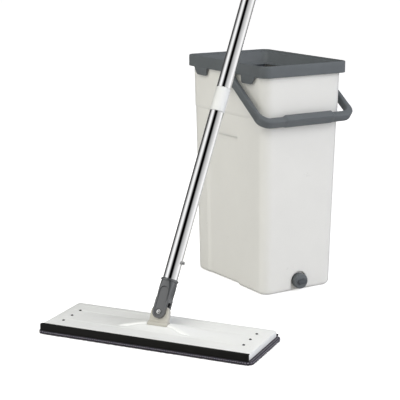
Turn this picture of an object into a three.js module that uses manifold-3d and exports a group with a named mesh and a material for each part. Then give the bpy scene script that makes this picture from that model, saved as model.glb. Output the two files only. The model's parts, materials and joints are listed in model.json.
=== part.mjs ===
// Flat mop with a two-chamber wringer bucket.
//
// Millimetres, +Z up.  The origin is the centre of the bucket's flat base.  The drain plug is in
// the front wall, which faces -Y.  Each function below makes one piece in the frame of the group
// that holds it, and the groups carry the pivots: the mop head turns as a whole, the saddle tilts
// in the mop plate and the pole folds in the saddle.

import * as THREE from 'three';
import { ConvexGeometry } from 'three/addons/geometries/ConvexGeometry.js';
import { mergeVertices } from 'three/addons/utils/BufferGeometryUtils.js';
import Module from 'manifold-3d';

const wasm = await Module();
wasm.setup();

// ---------------------------------------------------------------- driving dimensions

const GAP = 0.3; // clearance kept between pieces that touch
const OVERRUN = 2; // how far a cutting tool passes beyond the face it cuts

// Bucket: half sizes along X and Y at the base and at the taper's reference height.
const BASE_HALF = [69.2, 101];
const TOP_HALF = [76.3, 107.9];
const TAPER_HEIGHT = 362;
const RIM_Z = 363.7;
const WALL = 2.6;
const FLOOR = 3;
const FOOT_RADIUS = 7; // rounding of the edge all round the base
const CORNER_LOW = 16;
const CORNER_HIGH = 18;
const BAND_Z = 284; // the wall stands a little proud above this height
const BAND_PROUD = 0.9;

// Recess in each long side of the bucket: deepest just behind its front edge.
const RECESS_FRONT_Y = -28.5;
const RECESS_REAR_Y = 64;
const RECESS_DEPTH = 5;
const RECESS_TOP_Z = 250;
const RECESS_TOP_SLOPE = 4;

// Divider between the front (wash) chamber and the rear (dry) chamber.
const DIVIDER_THICKNESS = 2.6;
const DIVIDER_TOP_Z = 322;
const RAIL_DEPTH = 3.2;
const RAIL_WIDTH = 2.6;

// Drain in the front wall, on an axis parallel to Y.
const DRAIN_Z = 17;
const DRAIN_POCKET_R = 15.5;
const DRAIN_POCKET_Y = -97;
const DRAIN_BOSS_R = 18.5;
const DRAIN_BOSS_Y = -92.2;
const DRAIN_HOLE_R = 9.6;
const DRAIN_SEAT_BORE_R = 6.4;
const DRAIN_PLUG_R = 12.5;
const DRAIN_STEM_R = 6;
const DRAIN_PLUG_THICKNESS = 10.5;
const GASKET_THICKNESS = 1.8;

// Bail handle: pivot on the bucket's sides, arms below horizontal at rest.
const BAIL_PIVOT = [-18, 343]; // Y, Z
const BAIL_DROP = 35.8; // degrees below horizontal
const BAIL_ARM_X = [84, 92];
const BAIL_REACH = [108.9, 122]; // from the pivot to the grip's inner and outer faces
const BAIL_LIFT = 10; // the arms' centre line above the pivot
const BAIL_HEIGHT = 14;
const BAIL_EAR_R = 11;
const BAIL_BOSS_R = 8;
const BAIL_PIN_R = 3.8;
const BAIL_GRIP_HALF_X = 46;

// Lid.
const LID_HALF = [82.6, 114];
const LID_TOP_Z = 370.5;
const LID_SKIRT_Z = 352;
const LID_SKIN = 2.6;
const LID_LEDGE_Z = 367;
const LID_FLOOR_Z = 350;
const LID_FLOOR_SKIN = 2.4;
const FUNNEL_TOP_HALF = [72, 103.4];
const FUNNEL_FLOOR_HALF = [67, 98.4];
const FUNNEL_CORNER = 12;
const TAB_Y = [50, 88];
const TAB_Z = 340;

// Wringer slots, mirrored about the divider, and what hangs below them.
const SLOT_HALF_X = 60.5;
const SLOT_Y = [20, 82];
const ROLLER_Y = 30;
const ROLLER_Z = 333;
const ROLLER_R = 7;
const ROLLER_X = [32.5, 56];
const LUG_THICKNESS = 2.6;
const AXLE_R = 2.4;
const SCRAPER_TIP_Y = 61;
const SCRAPER_ROOT_Y = [83.2, 88.2];
const SCRAPER_FOOT_Y = 96;
const SCREW_Y = 92.2;
const SCREW_X = 40;
const SCRAPER_HALF_X = 57;
const SCRAPER_TOP_Z = LID_FLOOR_Z - LID_FLOOR_SKIN - GAP;
const SCRAPER_FOOT_THICKNESS = 3;

// Mop head: place on the floor, then sizes along its own X (long) and Y (short).
const HEAD_CENTRE = [-307.3, -175.4];
const HEAD_TURN = -56.08; // degrees about Z
const PLATE_LENGTH = 324.8;
const PLATE_WIDTH = 110.8;
const PLATE_BOTTOM_Z = 5.6;
const PLATE_TOP_Z = 14.4;
const PLATE_SKIN = 2.8;
const PLATE_HOLE_R = 2.1;
const STRIP_WIDTH = 3.6;
const REAR_STRIP_TOP_Z = 8.6; // the rear strip stops well below the plate's top
const PAD_LENGTH = 337;
const PAD_WIDTH = 121;
const PAD_TOP_Z = 5.2;
const TILT_AXIS_Z = 17;
const WINDOW_HALF = [16, 8.6];
const TILT_PIN_R = 2;
const TILT_PIN_HALF = 23.4;
const MOUND_TOP_Z = 19; // height of the mound round the window that the saddle tilts in
const MOUND_FOOT_HALF = [46, 24]; // half length and half width of the mound's foot
const FAIRING_TOP_Z = 21; // height of the two fairings that hold the pin
const FAIRING_X = [16.2, 25, 57]; // inner face, end of the level part, toe

// Saddle and pole: the fold axis stands this far above the tilt axis along the tilted saddle.
const FOLD_RISE = 19;
const SADDLE_TILT = 25.3; // degrees from upright, towards the head's own +Y
const POLE_FOLD = 5.9; // degrees from the saddle, towards the head's own +X
const BARREL_R = 6.3;
const TONGUE_HALF_Y = 4;
const FORK_R = 9.6;
const FORK_HALF_Y = 9.6;
const BOLT_R = 2.5;
const KNUCKLE_SLOT_TOP = 16; // above the fold axis, clear of the tongue at every fold
const KNUCKLE_HALF = 10.4; // half side of the knuckle's upper body
const COLLAR_R = 13;
const COLLAR_Z = [46.6, 49.8];
const TUBE_R = 10.8;
const TUBE_BORE_R = 10.1;
const SPIGOT_R = TUBE_BORE_R - GAP;
const SPIGOT_BORE_R = 7.6;
const COUPLER_LENGTH = 36.3;
const COUPLER_SPIGOT = 34;
const SPIGOT_TOP_Z = 96; // end of the knuckle's spigot inside the lower tube
const RECESS_FACE_DEPTH = 1.1; // depth of the hollow in the knuckle's front face
const LOWER_COUPLER_Z = 308.1;
const UPPER_COUPLER_Z = 637.6;
const POLE_END_Z = 1120;
const GRIP_START_Z = 985;
const GRIP_R = 14.6;
const BUTTON_Z = 76.8;
const BUTTON_R = 2.8;
const BUTTON_TIP_X = 16.3;

const degrees = Math.PI / 180;

// ---------------------------------------------------------------- shape helpers

const solidOf = (geometry) => {
  const bare = geometry.clone();
  for (const name of Object.keys(bare.attributes)) {
    if (name !== 'position') bare.deleteAttribute(name);
  }
  const merged = mergeVertices(bare, 1e-4);
  const position = merged.attributes.position.array;
  const triangles = merged.index.array;
  return new wasm.Manifold(
    new wasm.Mesh({
      numProp: 3,
      vertProperties: new Float32Array(position),
      triVerts: new Uint32Array(triangles),
    }),
  );
};

const geometryOf = (solid) => {
  const mesh = solid.getMesh();
  const geometry = new THREE.BufferGeometry();
  const position = new THREE.BufferAttribute(new Float32Array(mesh.vertProperties), 3);
  geometry.setAttribute('position', position);
  geometry.setIndex(new THREE.BufferAttribute(new Uint32Array(mesh.triVerts), 1));
  geometry.computeVertexNormals();
  return geometry;
};

const join = (...solids) => solids.reduce((whole, piece) => whole.add(piece));
const cut = (solid, ...tools) => tools.reduce((rest, tool) => rest.subtract(tool), solid);

const moved = (geometry, x, y, z) => geometry.clone().translate(x, y, z);

const box = (x, y, z) =>
  solidOf(
    moved(
      new THREE.BoxGeometry(x[1] - x[0], y[1] - y[0], z[1] - z[0]),
      (x[0] + x[1]) / 2,
      (y[0] + y[1]) / 2,
      (z[0] + z[1]) / 2,
    ),
  );

// A round bar along one axis, between two places on it.
const rod = (axis, radius, from, to, centre = [0, 0, 0], sides = 20) => {
  const bar = new THREE.CylinderGeometry(radius, radius, to - from, sides);
  const middle = (from + to) / 2;
  if (axis === 'x') bar.rotateZ(-Math.PI / 2).translate(middle, 0, 0);
  if (axis === 'y') bar.translate(0, middle, 0);
  if (axis === 'z') bar.rotateX(Math.PI / 2).translate(0, 0, middle);
  return solidOf(bar.translate(...centre));
};

// A closed or axis-to-axis profile of [radius, height] pairs turned about Z.
const turned = (profile, sides = 24) => {
  const points = profile.map(([radius, height]) => new THREE.Vector2(radius, height));
  const lathe = new THREE.LatheGeometry(points, sides);
  lathe.rotateX(Math.PI / 2);
  const solid = solidOf(lathe);
  return solid.volume() > 0 ? solid : solidOf(flipped(lathe));
};

const flipped = (geometry) => {
  const copy = geometry.clone();
  const index = copy.index.array;
  for (let i = 0; i < index.length; i += 3) {
    [index[i], index[i + 1]] = [index[i + 1], index[i]];
  }
  return copy;
};

const ringTube = (outer, inner, from, to, sides = 28) =>
  turned([[inner, from], [outer, from], [outer, to], [inner, to], [inner, from]], sides);

// A flat outline drawn in X and Y, carried up Z between two heights.
const extruded = (outline, depth, curveSegments) =>
  new THREE.ExtrudeGeometry(outline, { depth, bevelEnabled: false, curveSegments });

const prism = (outline, from, to, curveSegments = 5) =>
  solidOf(extruded(outline, to - from, curveSegments).translate(0, 0, from));

// The same, with the outline's X and Y standing for Y and Z, carried along X.
const prismAlongX = (outline, from, to) => {
  const geometry = extruded(outline, to - from, 8).translate(0, 0, from);
  geometry.applyMatrix4(new THREE.Matrix4().set(0, 0, 1, 0, 1, 0, 0, 0, 0, 1, 0, 0, 0, 0, 0, 1));
  return solidOf(geometry);
};

// The same, with the outline's X and Y standing for X and Z, centred on Y = 0.
const prismAlongY = (outline, halfWidth) => {
  const geometry = extruded(outline, 2 * halfWidth, 8).translate(0, 0, -halfWidth);
  return solidOf(geometry.rotateX(Math.PI / 2));
};

const polygon = (points) => new THREE.Shape(points.map(([x, y]) => new THREE.Vector2(x, y)));

// The smallest convex solid round a set of points.
const convex = (points) => solidOf(new ConvexGeometry(points.map((point) => new THREE.Vector3(...point))));

// Two places on an axis, mirrored to one side and put in rising order.
const span = (from, to, side) => [side * from, side * to].sort((a, b) => a - b);

const roundedRectangle = (halfX, halfY, radius) => {
  const shape = new THREE.Shape();
  const corners = [[1, -1], [1, 1], [-1, 1], [-1, -1]];
  corners.forEach(([sx, sy], i) => {
    const start = ((i - 1) * Math.PI) / 2;
    shape.absarc(sx * (halfX - radius), sy * (halfY - radius), radius, start, start + Math.PI / 2);
  });
  shape.closePath();
  return shape;
};

const roundedRing = (halfX, halfY, radius, z) => {
  const steps = 4;
  const ring = [];
  const corners = [[1, -1], [1, 1], [-1, 1], [-1, -1]];
  corners.forEach(([sx, sy], i) => {
    for (let k = 0; k <= steps; k += 1) {
      const angle = ((i - 1 + k / steps) * Math.PI) / 2;
      ring.push([
        sx * (halfX - radius) + radius * Math.cos(angle),
        sy * (halfY - radius) + radius * Math.sin(angle),
        z,
      ]);
    }
  });
  return ring;
};

// A skin over rings of equal point counts, lowest first, closed by a flat cap at each end.
// The rings may run either way round.
const loft = (drawn) => {
  const flat = drawn[0].map(([x, y]) => new THREE.Vector2(x, y));
  const rings = THREE.ShapeUtils.isClockWise(flat) ? drawn.map((ring) => ring.slice().reverse()) : drawn;
  const count = rings[0].length;
  const index = [];
  for (let r = 0; r + 1 < rings.length; r += 1) {
    for (let i = 0; i < count; i += 1) {
      const a = r * count + i;
      const b = r * count + ((i + 1) % count);
      index.push(a, b, b + count, a, b + count, a + count);
    }
  }
  const outline = rings[0].map(([x, y]) => new THREE.Vector2(x, y));
  const lastRing = (rings.length - 1) * count;
  for (const [a, b, c] of THREE.ShapeUtils.triangulateShape(outline, [])) {
    index.push(a, c, b, lastRing + a, lastRing + b, lastRing + c);
  }
  const geometry = new THREE.BufferGeometry();
  geometry.setAttribute('position', new THREE.Float32BufferAttribute(rings.flat(2), 3));
  geometry.setIndex(index);
  return solidOf(geometry);
};

// ---------------------------------------------------------------- bucket

const taper = (axis, z) => BASE_HALF[axis] + ((TOP_HALF[axis] - BASE_HALF[axis]) * z) / TAPER_HEIGHT;

const bucketRing = (z, inset) => {
  const corner = CORNER_LOW + ((CORNER_HIGH - CORNER_LOW) * z) / TAPER_HEIGHT;
  return roundedRing(taper(0, z) - inset, taper(1, z) - inset, Math.max(corner - inset, 4), z);
};

// The wedge that dents one long side, moved inwards by inset to follow the inside of the wall.
const recessWedge = (side, inset) => {
  const ring = (z, depth) => {
    const wall = taper(0, z) - inset;
    const beyond = wall + 14;
    return [
      [wall - depth, RECESS_FRONT_Y + inset],
      [wall, RECESS_REAR_Y + inset],
      [beyond, RECESS_REAR_Y + inset],
      [beyond, RECESS_FRONT_Y - 1.5 + inset],
      [wall, RECESS_FRONT_Y - 1.5 + inset],
    ].map(([x, y]) => [side * x, y, z]);
  };
  return loft([
    ring(-OVERRUN, RECESS_DEPTH),
    ring(RECESS_TOP_Z - RECESS_TOP_SLOPE, RECESS_DEPTH),
    ring(RECESS_TOP_Z, 0.4),
  ]);
};

// Rings that round the edge between the base and the walls, lowest first.
const footRings = (floor, inset, radius) =>
  [0, 30, 60, 90].map((angle) => {
    const turn = angle * degrees;
    return bucketRing(floor + radius * (1 - Math.cos(turn)), inset + radius * (1 - Math.sin(turn)));
  });

const bucketShell = () => {
  const outer = cut(
    loft([
      ...footRings(0, 0, FOOT_RADIUS),
      bucketRing(BAND_Z, 0),
      bucketRing(BAND_Z + 1, -BAND_PROUD),
      bucketRing(RIM_Z, -BAND_PROUD),
    ]),
    recessWedge(-1, 0),
    recessWedge(1, 0),
  );
  const inner = cut(
    loft([
      ...footRings(FLOOR, WALL, FOOT_RADIUS - WALL),
      bucketRing(BAND_Z, WALL),
      bucketRing(BAND_Z + 1, WALL - BAND_PROUD),
      bucketRing(RIM_Z + OVERRUN, WALL - BAND_PROUD),
    ]),
    recessWedge(-1, WALL),
    recessWedge(1, WALL),
  );
  const drainBoss = join(
    rod('y', DRAIN_BOSS_R, DRAIN_POCKET_Y - 5, DRAIN_BOSS_Y, [0, 0, DRAIN_Z]),
    box([-DRAIN_BOSS_R, DRAIN_BOSS_R], [DRAIN_POCKET_Y - 5, DRAIN_BOSS_Y], [1, DRAIN_Z]),
  );
  const drainPocket = join(
    rod('y', DRAIN_POCKET_R, DRAIN_POCKET_Y - 12, DRAIN_POCKET_Y, [0, 0, DRAIN_Z], 28),
    box([-DRAIN_POCKET_R, DRAIN_POCKET_R], [DRAIN_POCKET_Y - 12, DRAIN_POCKET_Y], [-OVERRUN, DRAIN_Z]),
  );
  const drainHole = rod('y', DRAIN_HOLE_R, DRAIN_POCKET_Y - 12, DRAIN_BOSS_Y + 6, [0, 0, DRAIN_Z]);
  const bailBosses = [-1, 1].map((side) =>
    rod('x', BAIL_BOSS_R, ...span(74, BAIL_ARM_X[0] - GAP, side), [0, ...BAIL_PIVOT]),
  );
  const pinHoles = rod('x', BAIL_PIN_R + 0.1, -100, 100, [0, ...BAIL_PIVOT]);
  const railNear = DIVIDER_THICKNESS / 2 + GAP;
  const rails = [-1, 1].flatMap((side) =>
    [-1, 1].map((face) =>
      box(span(56, 74, side), span(railNear, railNear + RAIL_WIDTH, face), [FLOOR - 1, DIVIDER_TOP_Z]),
    ),
  );
  const railCore = loft(
    [0, RIM_Z].map((z) => roundedRing(dividerHalf(z) - RAIL_DEPTH + GAP, 40, 4, z)),
  );
  const trimmedRails = rails.map((rail) => rail.intersect(outer).subtract(railCore));
  const whole = join(cut(outer, inner), drainBoss.intersect(outer), ...bailBosses, ...trimmedRails);
  return cut(whole, drainPocket, drainHole, pinHoles);
};

// Half width of the divider at a height: the inside of the dented wall less a gap.
const dividerHalf = (z) => {
  const recessLength = RECESS_REAR_Y - RECESS_FRONT_Y;
  const dent = (RECESS_DEPTH * (RECESS_REAR_Y - DIVIDER_THICKNESS)) / recessLength;
  return taper(0, z) - WALL - dent - 3 * GAP;
};

// Its lower corners are cut off to clear the rounded corners of the floor.
const dividerPanel = () => {
  const low = FLOOR + GAP;
  const corner = FOOT_RADIUS - WALL + 1;
  const stiffener = 5;
  const sheet = polygon([
    [-dividerHalf(low), low + corner],
    [-dividerHalf(low) + corner, low],
    [dividerHalf(low) - corner, low],
    [dividerHalf(low), low + corner],
    [dividerHalf(DIVIDER_TOP_Z), DIVIDER_TOP_Z],
    [-dividerHalf(DIVIDER_TOP_Z), DIVIDER_TOP_Z],
  ]);
  const topEdge = box([-52, 52], [-stiffener / 2, stiffener / 2], [DIVIDER_TOP_Z - 4, DIVIDER_TOP_Z]);
  return join(prismAlongY(sheet, DIVIDER_THICKNESS / 2), topEdge);
};

// Threaded bush in the front wall, with its flange on the wet side.
const drainSeat = () => {
  const profile = [
    [DRAIN_SEAT_BORE_R, DRAIN_POCKET_Y + GAP],
    [DRAIN_HOLE_R - GAP, DRAIN_POCKET_Y + GAP],
    [DRAIN_HOLE_R - GAP, DRAIN_BOSS_Y + GAP],
    [DRAIN_HOLE_R + 3, DRAIN_BOSS_Y + GAP],
    [DRAIN_HOLE_R + 3, DRAIN_BOSS_Y + 2.6],
    [DRAIN_SEAT_BORE_R, DRAIN_BOSS_Y + 2.6],
    [DRAIN_SEAT_BORE_R, DRAIN_POCKET_Y + GAP],
  ];
  return alongDrain(profile);
};

// A profile of [radius, Y] pairs turned about the drain's axis.
const alongDrain = (profile, sides = 24) =>
  solidOf(
    geometryOf(turned(profile, sides))
      .rotateX(-Math.PI / 2)
      .translate(0, 0, DRAIN_Z),
  );

const drainGasket = () => {
  const back = DRAIN_POCKET_Y - GAP;
  const front = back - GASKET_THICKNESS;
  const bore = DRAIN_STEM_R + 1.2;
  const rim = DRAIN_PLUG_R - 0.9;
  return alongDrain([[bore, front], [rim, front], [rim, back], [bore, back], [bore, front]]);
};

const drainPlug = () => {
  const back = DRAIN_POCKET_Y - GASKET_THICKNESS - 2 * GAP;
  const face = back - DRAIN_PLUG_THICKNESS;
  const head = alongDrain(
    [
      [0, face],
      [DRAIN_PLUG_R - 1.4, face],
      [DRAIN_PLUG_R, face + 1.2],
      [DRAIN_PLUG_R, back],
      [DRAIN_STEM_R, back],
      [DRAIN_STEM_R, DRAIN_BOSS_Y + 8],
      [DRAIN_STEM_R - 1.5, DRAIN_BOSS_Y + 10],
      [0, DRAIN_BOSS_Y + 10],
    ],
    28,
  );
  const wing = prism(roundedRectangle(8.6, 3.6, 3.4), 0, 4.6);
  const standing = geometryOf(wing).rotateX(Math.PI / 2).translate(0, face + 0.5, DRAIN_Z);
  return join(head, solidOf(standing));
};

// Pin through one bail ear into the bucket's boss, with a round head outside the ear.
const bailPin = (side) => {
  const root = 78.5;
  const out = BAIL_ARM_X[1] + GAP;
  const shank = BAIL_PIN_R - 0.25;
  const profile = [
    [0, root],
    [shank, root],
    [shank, out],
    [6.4, out],
    [6.4, out + 0.8],
    [5, out + 1.7],
    [0, out + 2],
  ];
  const turnedPin = geometryOf(turned(profile, 18)).rotateY((side * Math.PI) / 2);
  return solidOf(turnedPin.translate(0, ...BAIL_PIVOT));
};

// ---------------------------------------------------------------- bail handle

// Made with its pivot at the origin and its arms level, towards -Y.
const bailHandle = () => {
  const [inner, outer] = BAIL_ARM_X;
  const [near, far] = BAIL_REACH;
  const corner = 21;
  const outline = new THREE.Shape();
  outline.moveTo(-outer, 2);
  outline.lineTo(-outer, -far + corner);
  outline.absarc(-outer + corner, -far + corner, corner, Math.PI, 1.5 * Math.PI);
  outline.absarc(outer - corner, -far + corner, corner, 1.5 * Math.PI, 2 * Math.PI);
  outline.lineTo(outer, 2);
  outline.lineTo(inner, 2);
  const bend = corner - 9;
  outline.absarc(inner - bend, -near + bend, bend, 0, -0.5 * Math.PI, true);
  outline.absarc(-inner + bend, -near + bend, bend, 1.5 * Math.PI, Math.PI, true);
  outline.lineTo(-inner, 2);
  outline.closePath();
  const low = BAIL_LIFT - BAIL_HEIGHT / 2;
  const high = BAIL_LIFT + BAIL_HEIGHT / 2;
  const loop = prism(outline, low, high, 6);
  const blend = polygon([[-24, low], [-6, -9.2], [9, -6], [BAIL_EAR_R, 0], [6, 9], [2, high], [-30, high]]);
  const ears = [-1, 1].map((side) => {
    const faces = span(inner, outer, side);
    return join(rod('x', BAIL_EAR_R, ...faces), prismAlongX(blend, ...faces));
  });
  const gripOutline = polygon([
    [-far - 1.2, low - 1],
    [-near + 0.6, low - 1],
    [-near + 0.6, high + 2],
    [-near - 1.4, high + 3.2],
    [-far + 1, high + 3.2],
    [-far - 1.2, high + 1],
  ]);
  const grip = prismAlongX(gripOutline, -BAIL_GRIP_HALF_X, BAIL_GRIP_HALF_X);
  return cut(join(loop, ...ears, grip), rod('x', BAIL_PIN_R + 0.1, -100, 100));
};

// ---------------------------------------------------------------- lid and wringer

const lidFrame = () => {
  const [halfX, halfY] = LID_HALF;
  const outer = loft([
    roundedRing(halfX, halfY, 15, LID_SKIRT_Z),
    roundedRing(halfX, halfY, 15, LID_TOP_Z - 1.6),
    roundedRing(halfX - 0.5, halfY - 0.5, 14.5, LID_TOP_Z - 0.5),
    roundedRing(halfX - 1.6, halfY - 1.6, 13.4, LID_TOP_Z),
  ]);
  const under = loft([
    roundedRing(halfX - LID_SKIN, halfY - LID_SKIN, 12.6, LID_SKIRT_Z - OVERRUN),
    roundedRing(halfX - LID_SKIN, halfY - LID_SKIN, 12.6, RIM_Z + GAP),
  ]);
  const funnelRing = (half, grow, z) =>
    roundedRing(half[0] + grow, half[1] + grow, FUNNEL_CORNER + grow, z);
  const funnelSkin = loft([
    funnelRing(FUNNEL_FLOOR_HALF, LID_FLOOR_SKIN - 0.4, LID_FLOOR_Z - LID_FLOOR_SKIN),
    funnelRing(FUNNEL_FLOOR_HALF, LID_FLOOR_SKIN, LID_FLOOR_Z),
    funnelRing(FUNNEL_TOP_HALF, LID_FLOOR_SKIN - 1.2, RIM_Z + 1),
  ]);
  const trayStep = loft([
    roundedRing(halfX - 3.6, halfY - 3.6, 11.4, LID_LEDGE_Z),
    roundedRing(halfX - 3.6, halfY - 3.6, 11.4, LID_TOP_Z + OVERRUN),
  ]);
  const funnel = loft([
    funnelRing(FUNNEL_FLOOR_HALF, 0, LID_FLOOR_Z),
    funnelRing(FUNNEL_TOP_HALF, 0, LID_LEDGE_Z + 0.5),
  ]);
  const slots = [-1, 1].map((side) => {
    const y = span(...SLOT_Y, side);
    return prism(
      roundedRectangle(SLOT_HALF_X, (y[1] - y[0]) / 2, 5),
      LID_FLOOR_Z - 6,
      LID_FLOOR_Z + 4,
    ).translate([0, (y[0] + y[1]) / 2, 0]);
  });
  const tray = cut(join(cut(outer, under), funnelSkin), trayStep, funnel, ...slots);
  return join(tray, ...lidTabs(), ...rollerLugs());
};

// Four hooks that hang from the skirt and grip the sides of the bucket's rim.
const lidTabs = () =>
  [-1, 1].flatMap((side) =>
    [-1, 1].map((end) => {
      const root = LID_SKIRT_Z + 1;
      const outline = polygon([
        [end * TAB_Y[0], root],
        [end * (TAB_Y[0] + 2), TAB_Z],
        [end * (TAB_Y[1] - 9), TAB_Z],
        [end * TAB_Y[1], root],
      ]);
      return prismAlongX(outline, ...span(LID_HALF[0] - 3, LID_HALF[0], side));
    }),
  );

// Lugs under the bridge between the slots, one on each side of every roller.
const rollerLugs = () =>
  [-1, 1].flatMap((side) =>
    [-1, 1].flatMap((end) => {
      const y = span(SLOT_Y[0] - 8, ROLLER_Y + 5.5, side);
      const hole = rod('x', AXLE_R + 0.1, -80, 80, [0, side * ROLLER_Y, ROLLER_Z]);
      const starts = [ROLLER_X[0] - GAP - LUG_THICKNESS, ROLLER_X[1] + GAP];
      return starts.map((from) => {
        const x = span(from, from + LUG_THICKNESS, end);
        return cut(box(x, y, [ROLLER_Z - 6, LID_FLOOR_Z - 1]), hole);
      });
    }),
  );

const roller = () => {
  const [from, to] = ROLLER_X;
  const bore = AXLE_R + 0.1;
  const chamfer = 0.8;
  const grooves = 2;
  const groove = [[ROLLER_R, -0.9], [ROLLER_R - 0.9, -0.4], [ROLLER_R - 0.9, 0.4], [ROLLER_R, 0.9]];
  const profile = [[bore, from], [ROLLER_R - chamfer, from], [ROLLER_R, from + chamfer]];
  for (let i = 1; i <= grooves; i += 1) {
    const at = from + (i * (to - from)) / (grooves + 1);
    profile.push(...groove.map(([radius, along]) => [radius, at + along]));
  }
  profile.push([ROLLER_R, to - chamfer], [ROLLER_R - chamfer, to], [bore, to]);
  profile.push(profile[0]);
  return turned(profile, 16);
};

const rollerAxle = () => {
  const beyond = GAP + LUG_THICKNESS + 0.4;
  return rod('z', AXLE_R, ROLLER_X[0] - beyond, ROLLER_X[1] + beyond);
};

// Rollers and axles are made along +Z, then laid along X on their side of the lid.
const laidAlongX = (solid, end, side) =>
  solidOf(geometryOf(solid).rotateY((end * Math.PI) / 2).translate(0, side * ROLLER_Y, ROLLER_Z));

// Scraper of the wash slot: a rail below the lid's floor with a row of slanting teeth.
const washComb = () => {
  const x = [-SCRAPER_HALF_X, SCRAPER_HALF_X];
  const root = -SCRAPER_ROOT_Y[0];
  const rail = box(x, [-SCRAPER_ROOT_Y[1], root], [322, SCRAPER_TOP_Z]);
  const foot = box(x, [-SCRAPER_FOOT_Y, root], [SCRAPER_TOP_Z - SCRAPER_FOOT_THICKNESS, SCRAPER_TOP_Z]);
  const tooth = polygon([
    [root - 1, 325],
    [-SCRAPER_TIP_Y - 2, 339],
    [-SCRAPER_TIP_Y, 340.5],
    [-SCRAPER_TIP_Y - 3, 342],
    [root - 1, 333],
  ]);
  const count = 19;
  const pitch = (2 * SCRAPER_HALF_X - 4) / (count - 1);
  const teeth = Array.from({ length: count }, (_, i) => {
    const middle = -SCRAPER_HALF_X + 2 + i * pitch;
    return prismAlongX(tooth, middle - 1.1, middle + 1.1);
  });
  return join(rail, foot, ...teeth);
};

// Sloping arm below the dry slot that carries the wiping lip on its leading edge.
const dryBladeHolder = () => {
  const outline = polygon([
    [SCRAPER_ROOT_Y[0], SCRAPER_TOP_Z],
    [SCRAPER_ROOT_Y[0], 338],
    [70, 342.5],
    [69, 338.5],
    [SCRAPER_ROOT_Y[0], 328],
    [SCRAPER_ROOT_Y[1], 326],
    [SCRAPER_ROOT_Y[1], SCRAPER_TOP_Z - SCRAPER_FOOT_THICKNESS],
    [SCRAPER_FOOT_Y, SCRAPER_TOP_Z - SCRAPER_FOOT_THICKNESS],
    [SCRAPER_FOOT_Y, SCRAPER_TOP_Z],
  ]);
  return prismAlongX(outline, -SCRAPER_HALF_X, SCRAPER_HALF_X);
};

const dryLip = () => {
  const outline = polygon([[68.6, 338.8], [69.5, 342.2], [SCRAPER_TIP_Y, 343.6], [SCRAPER_TIP_Y, 342.8]]);
  return prismAlongX(outline, -SCRAPER_HALF_X + 0.5, SCRAPER_HALF_X - 0.5);
};

// Pan-head screw driven up through the foot of a scraper into the lid's floor.
const scraperScrew = (x, side) => {
  const top = SCRAPER_TOP_Z - SCRAPER_FOOT_THICKNESS - GAP;
  const profile = [[0, top - 2.2], [2.4, top - 2.2], [3.4, top - 1.2], [3.4, top], [0, top]];
  return solidOf(geometryOf(turned(profile, 18)).translate(x, side * SCREW_Y, 0));
};

// ---------------------------------------------------------------- mop head

const mopPlate = () => {
  const outline = roundedRectangle(PLATE_LENGTH / 2, PLATE_WIDTH / 2, 5);
  const body = prism(outline, PLATE_BOTTOM_Z, PLATE_TOP_Z);
  const [windowX, windowY] = WINDOW_HALF;
  const window = box([-windowX, windowX], [-windowY, windowY], [0, 30]);
  const pinHole = rod('x', TILT_PIN_R + 0.1, -30, 30, [0, 0, TILT_AXIS_Z]);
  return cut(join(body, ...plateFairings()), window, pinHole, ...plateHoles(), ...platePockets());
};

// A low mound round the saddle, and two fairings that hold the tilt pin and run out over the plate
// on each side of it.
const plateFairings = () => {
  const [face, shoulder, toe] = FAIRING_X;
  const base = PLATE_TOP_Z - 1;
  const [footX, footY] = MOUND_FOOT_HALF;
  const foot = [[footX, footY, base], [footX, -footY, base], [-footX, footY, base], [-footX, -footY, base]];
  const crest = [[24, 9.6], [24, -9.6], [-24, 9.6], [-24, -9.6]].map(([x, y]) => [x, y, MOUND_TOP_Z]);
  const sides = [-1, 1].map((end) => {
    const corners = [
      [face, 9, base],
      [shoulder, 11, base],
      [toe + 4, 18, base],
      [face, 5, FAIRING_TOP_Z],
      [shoulder, 5.5, FAIRING_TOP_Z],
      [toe, 14, PLATE_TOP_Z + 0.6],
    ];
    return convex(corners.flatMap(([x, y, z]) => [[end * x, y, z], [end * x, -y, z]]));
  });
  return [convex([...foot, ...crest]), ...sides];
};

const plateHoles = () =>
  [-1, 1].flatMap((end) =>
    [-21, 4, 29].map((y) => rod('z', PLATE_HOLE_R, 0, 20, [end * 141, end * y, 0], 12)),
  );

// Hollows below the plate's skin, and two shallow channels for the hook strips.
const platePockets = () => {
  const ceiling = PLATE_TOP_Z - PLATE_SKIN;
  const pockets = [];
  for (const end of [-1, 1]) {
    for (const from of [28, 64, 100]) {
      for (const side of [-1, 1]) {
        pockets.push(box(span(from, from + 32, end), span(1.2, 20, side), [0, ceiling]));
      }
    }
  }
  for (const side of [-1, 1]) {
    pockets.push(box([-146, 146], span(24, 48, side), [0, PLATE_BOTTOM_Z + 1.6]));
  }
  return pockets;
};

// Rubber strip along one long edge.  The front one laps over the plate's edge, and the rear one
// stops below it.
const edgeStrip = (side) => {
  const inner = PLATE_WIDTH / 2 + GAP;
  const outer = inner + STRIP_WIDTH;
  const low = PAD_TOP_Z + GAP;
  const lap = PLATE_TOP_Z + GAP;
  const top = side < 0 ? PLATE_TOP_Z + 1.3 : REAR_STRIP_TOP_Z;
  const face = [[inner, low], [outer - 0.8, low], [outer, low + 1.2], [outer, top - 1], [outer - 0.9, top]];
  const back = side < 0 ? [[inner - 2, top], [inner - 2, lap], [inner, lap]] : [[inner, top]];
  const outline = polygon([...face, ...back].map(([y, z]) => [side * y, z]));
  const half = PLATE_LENGTH / 2 + 0.5;
  return prismAlongX(outline, -half, half);
};

const hookStrip = (side) => box([-144, 144], span(26, 46, side), [PLATE_BOTTOM_Z, PLATE_BOTTOM_Z + 1.2]);

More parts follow.
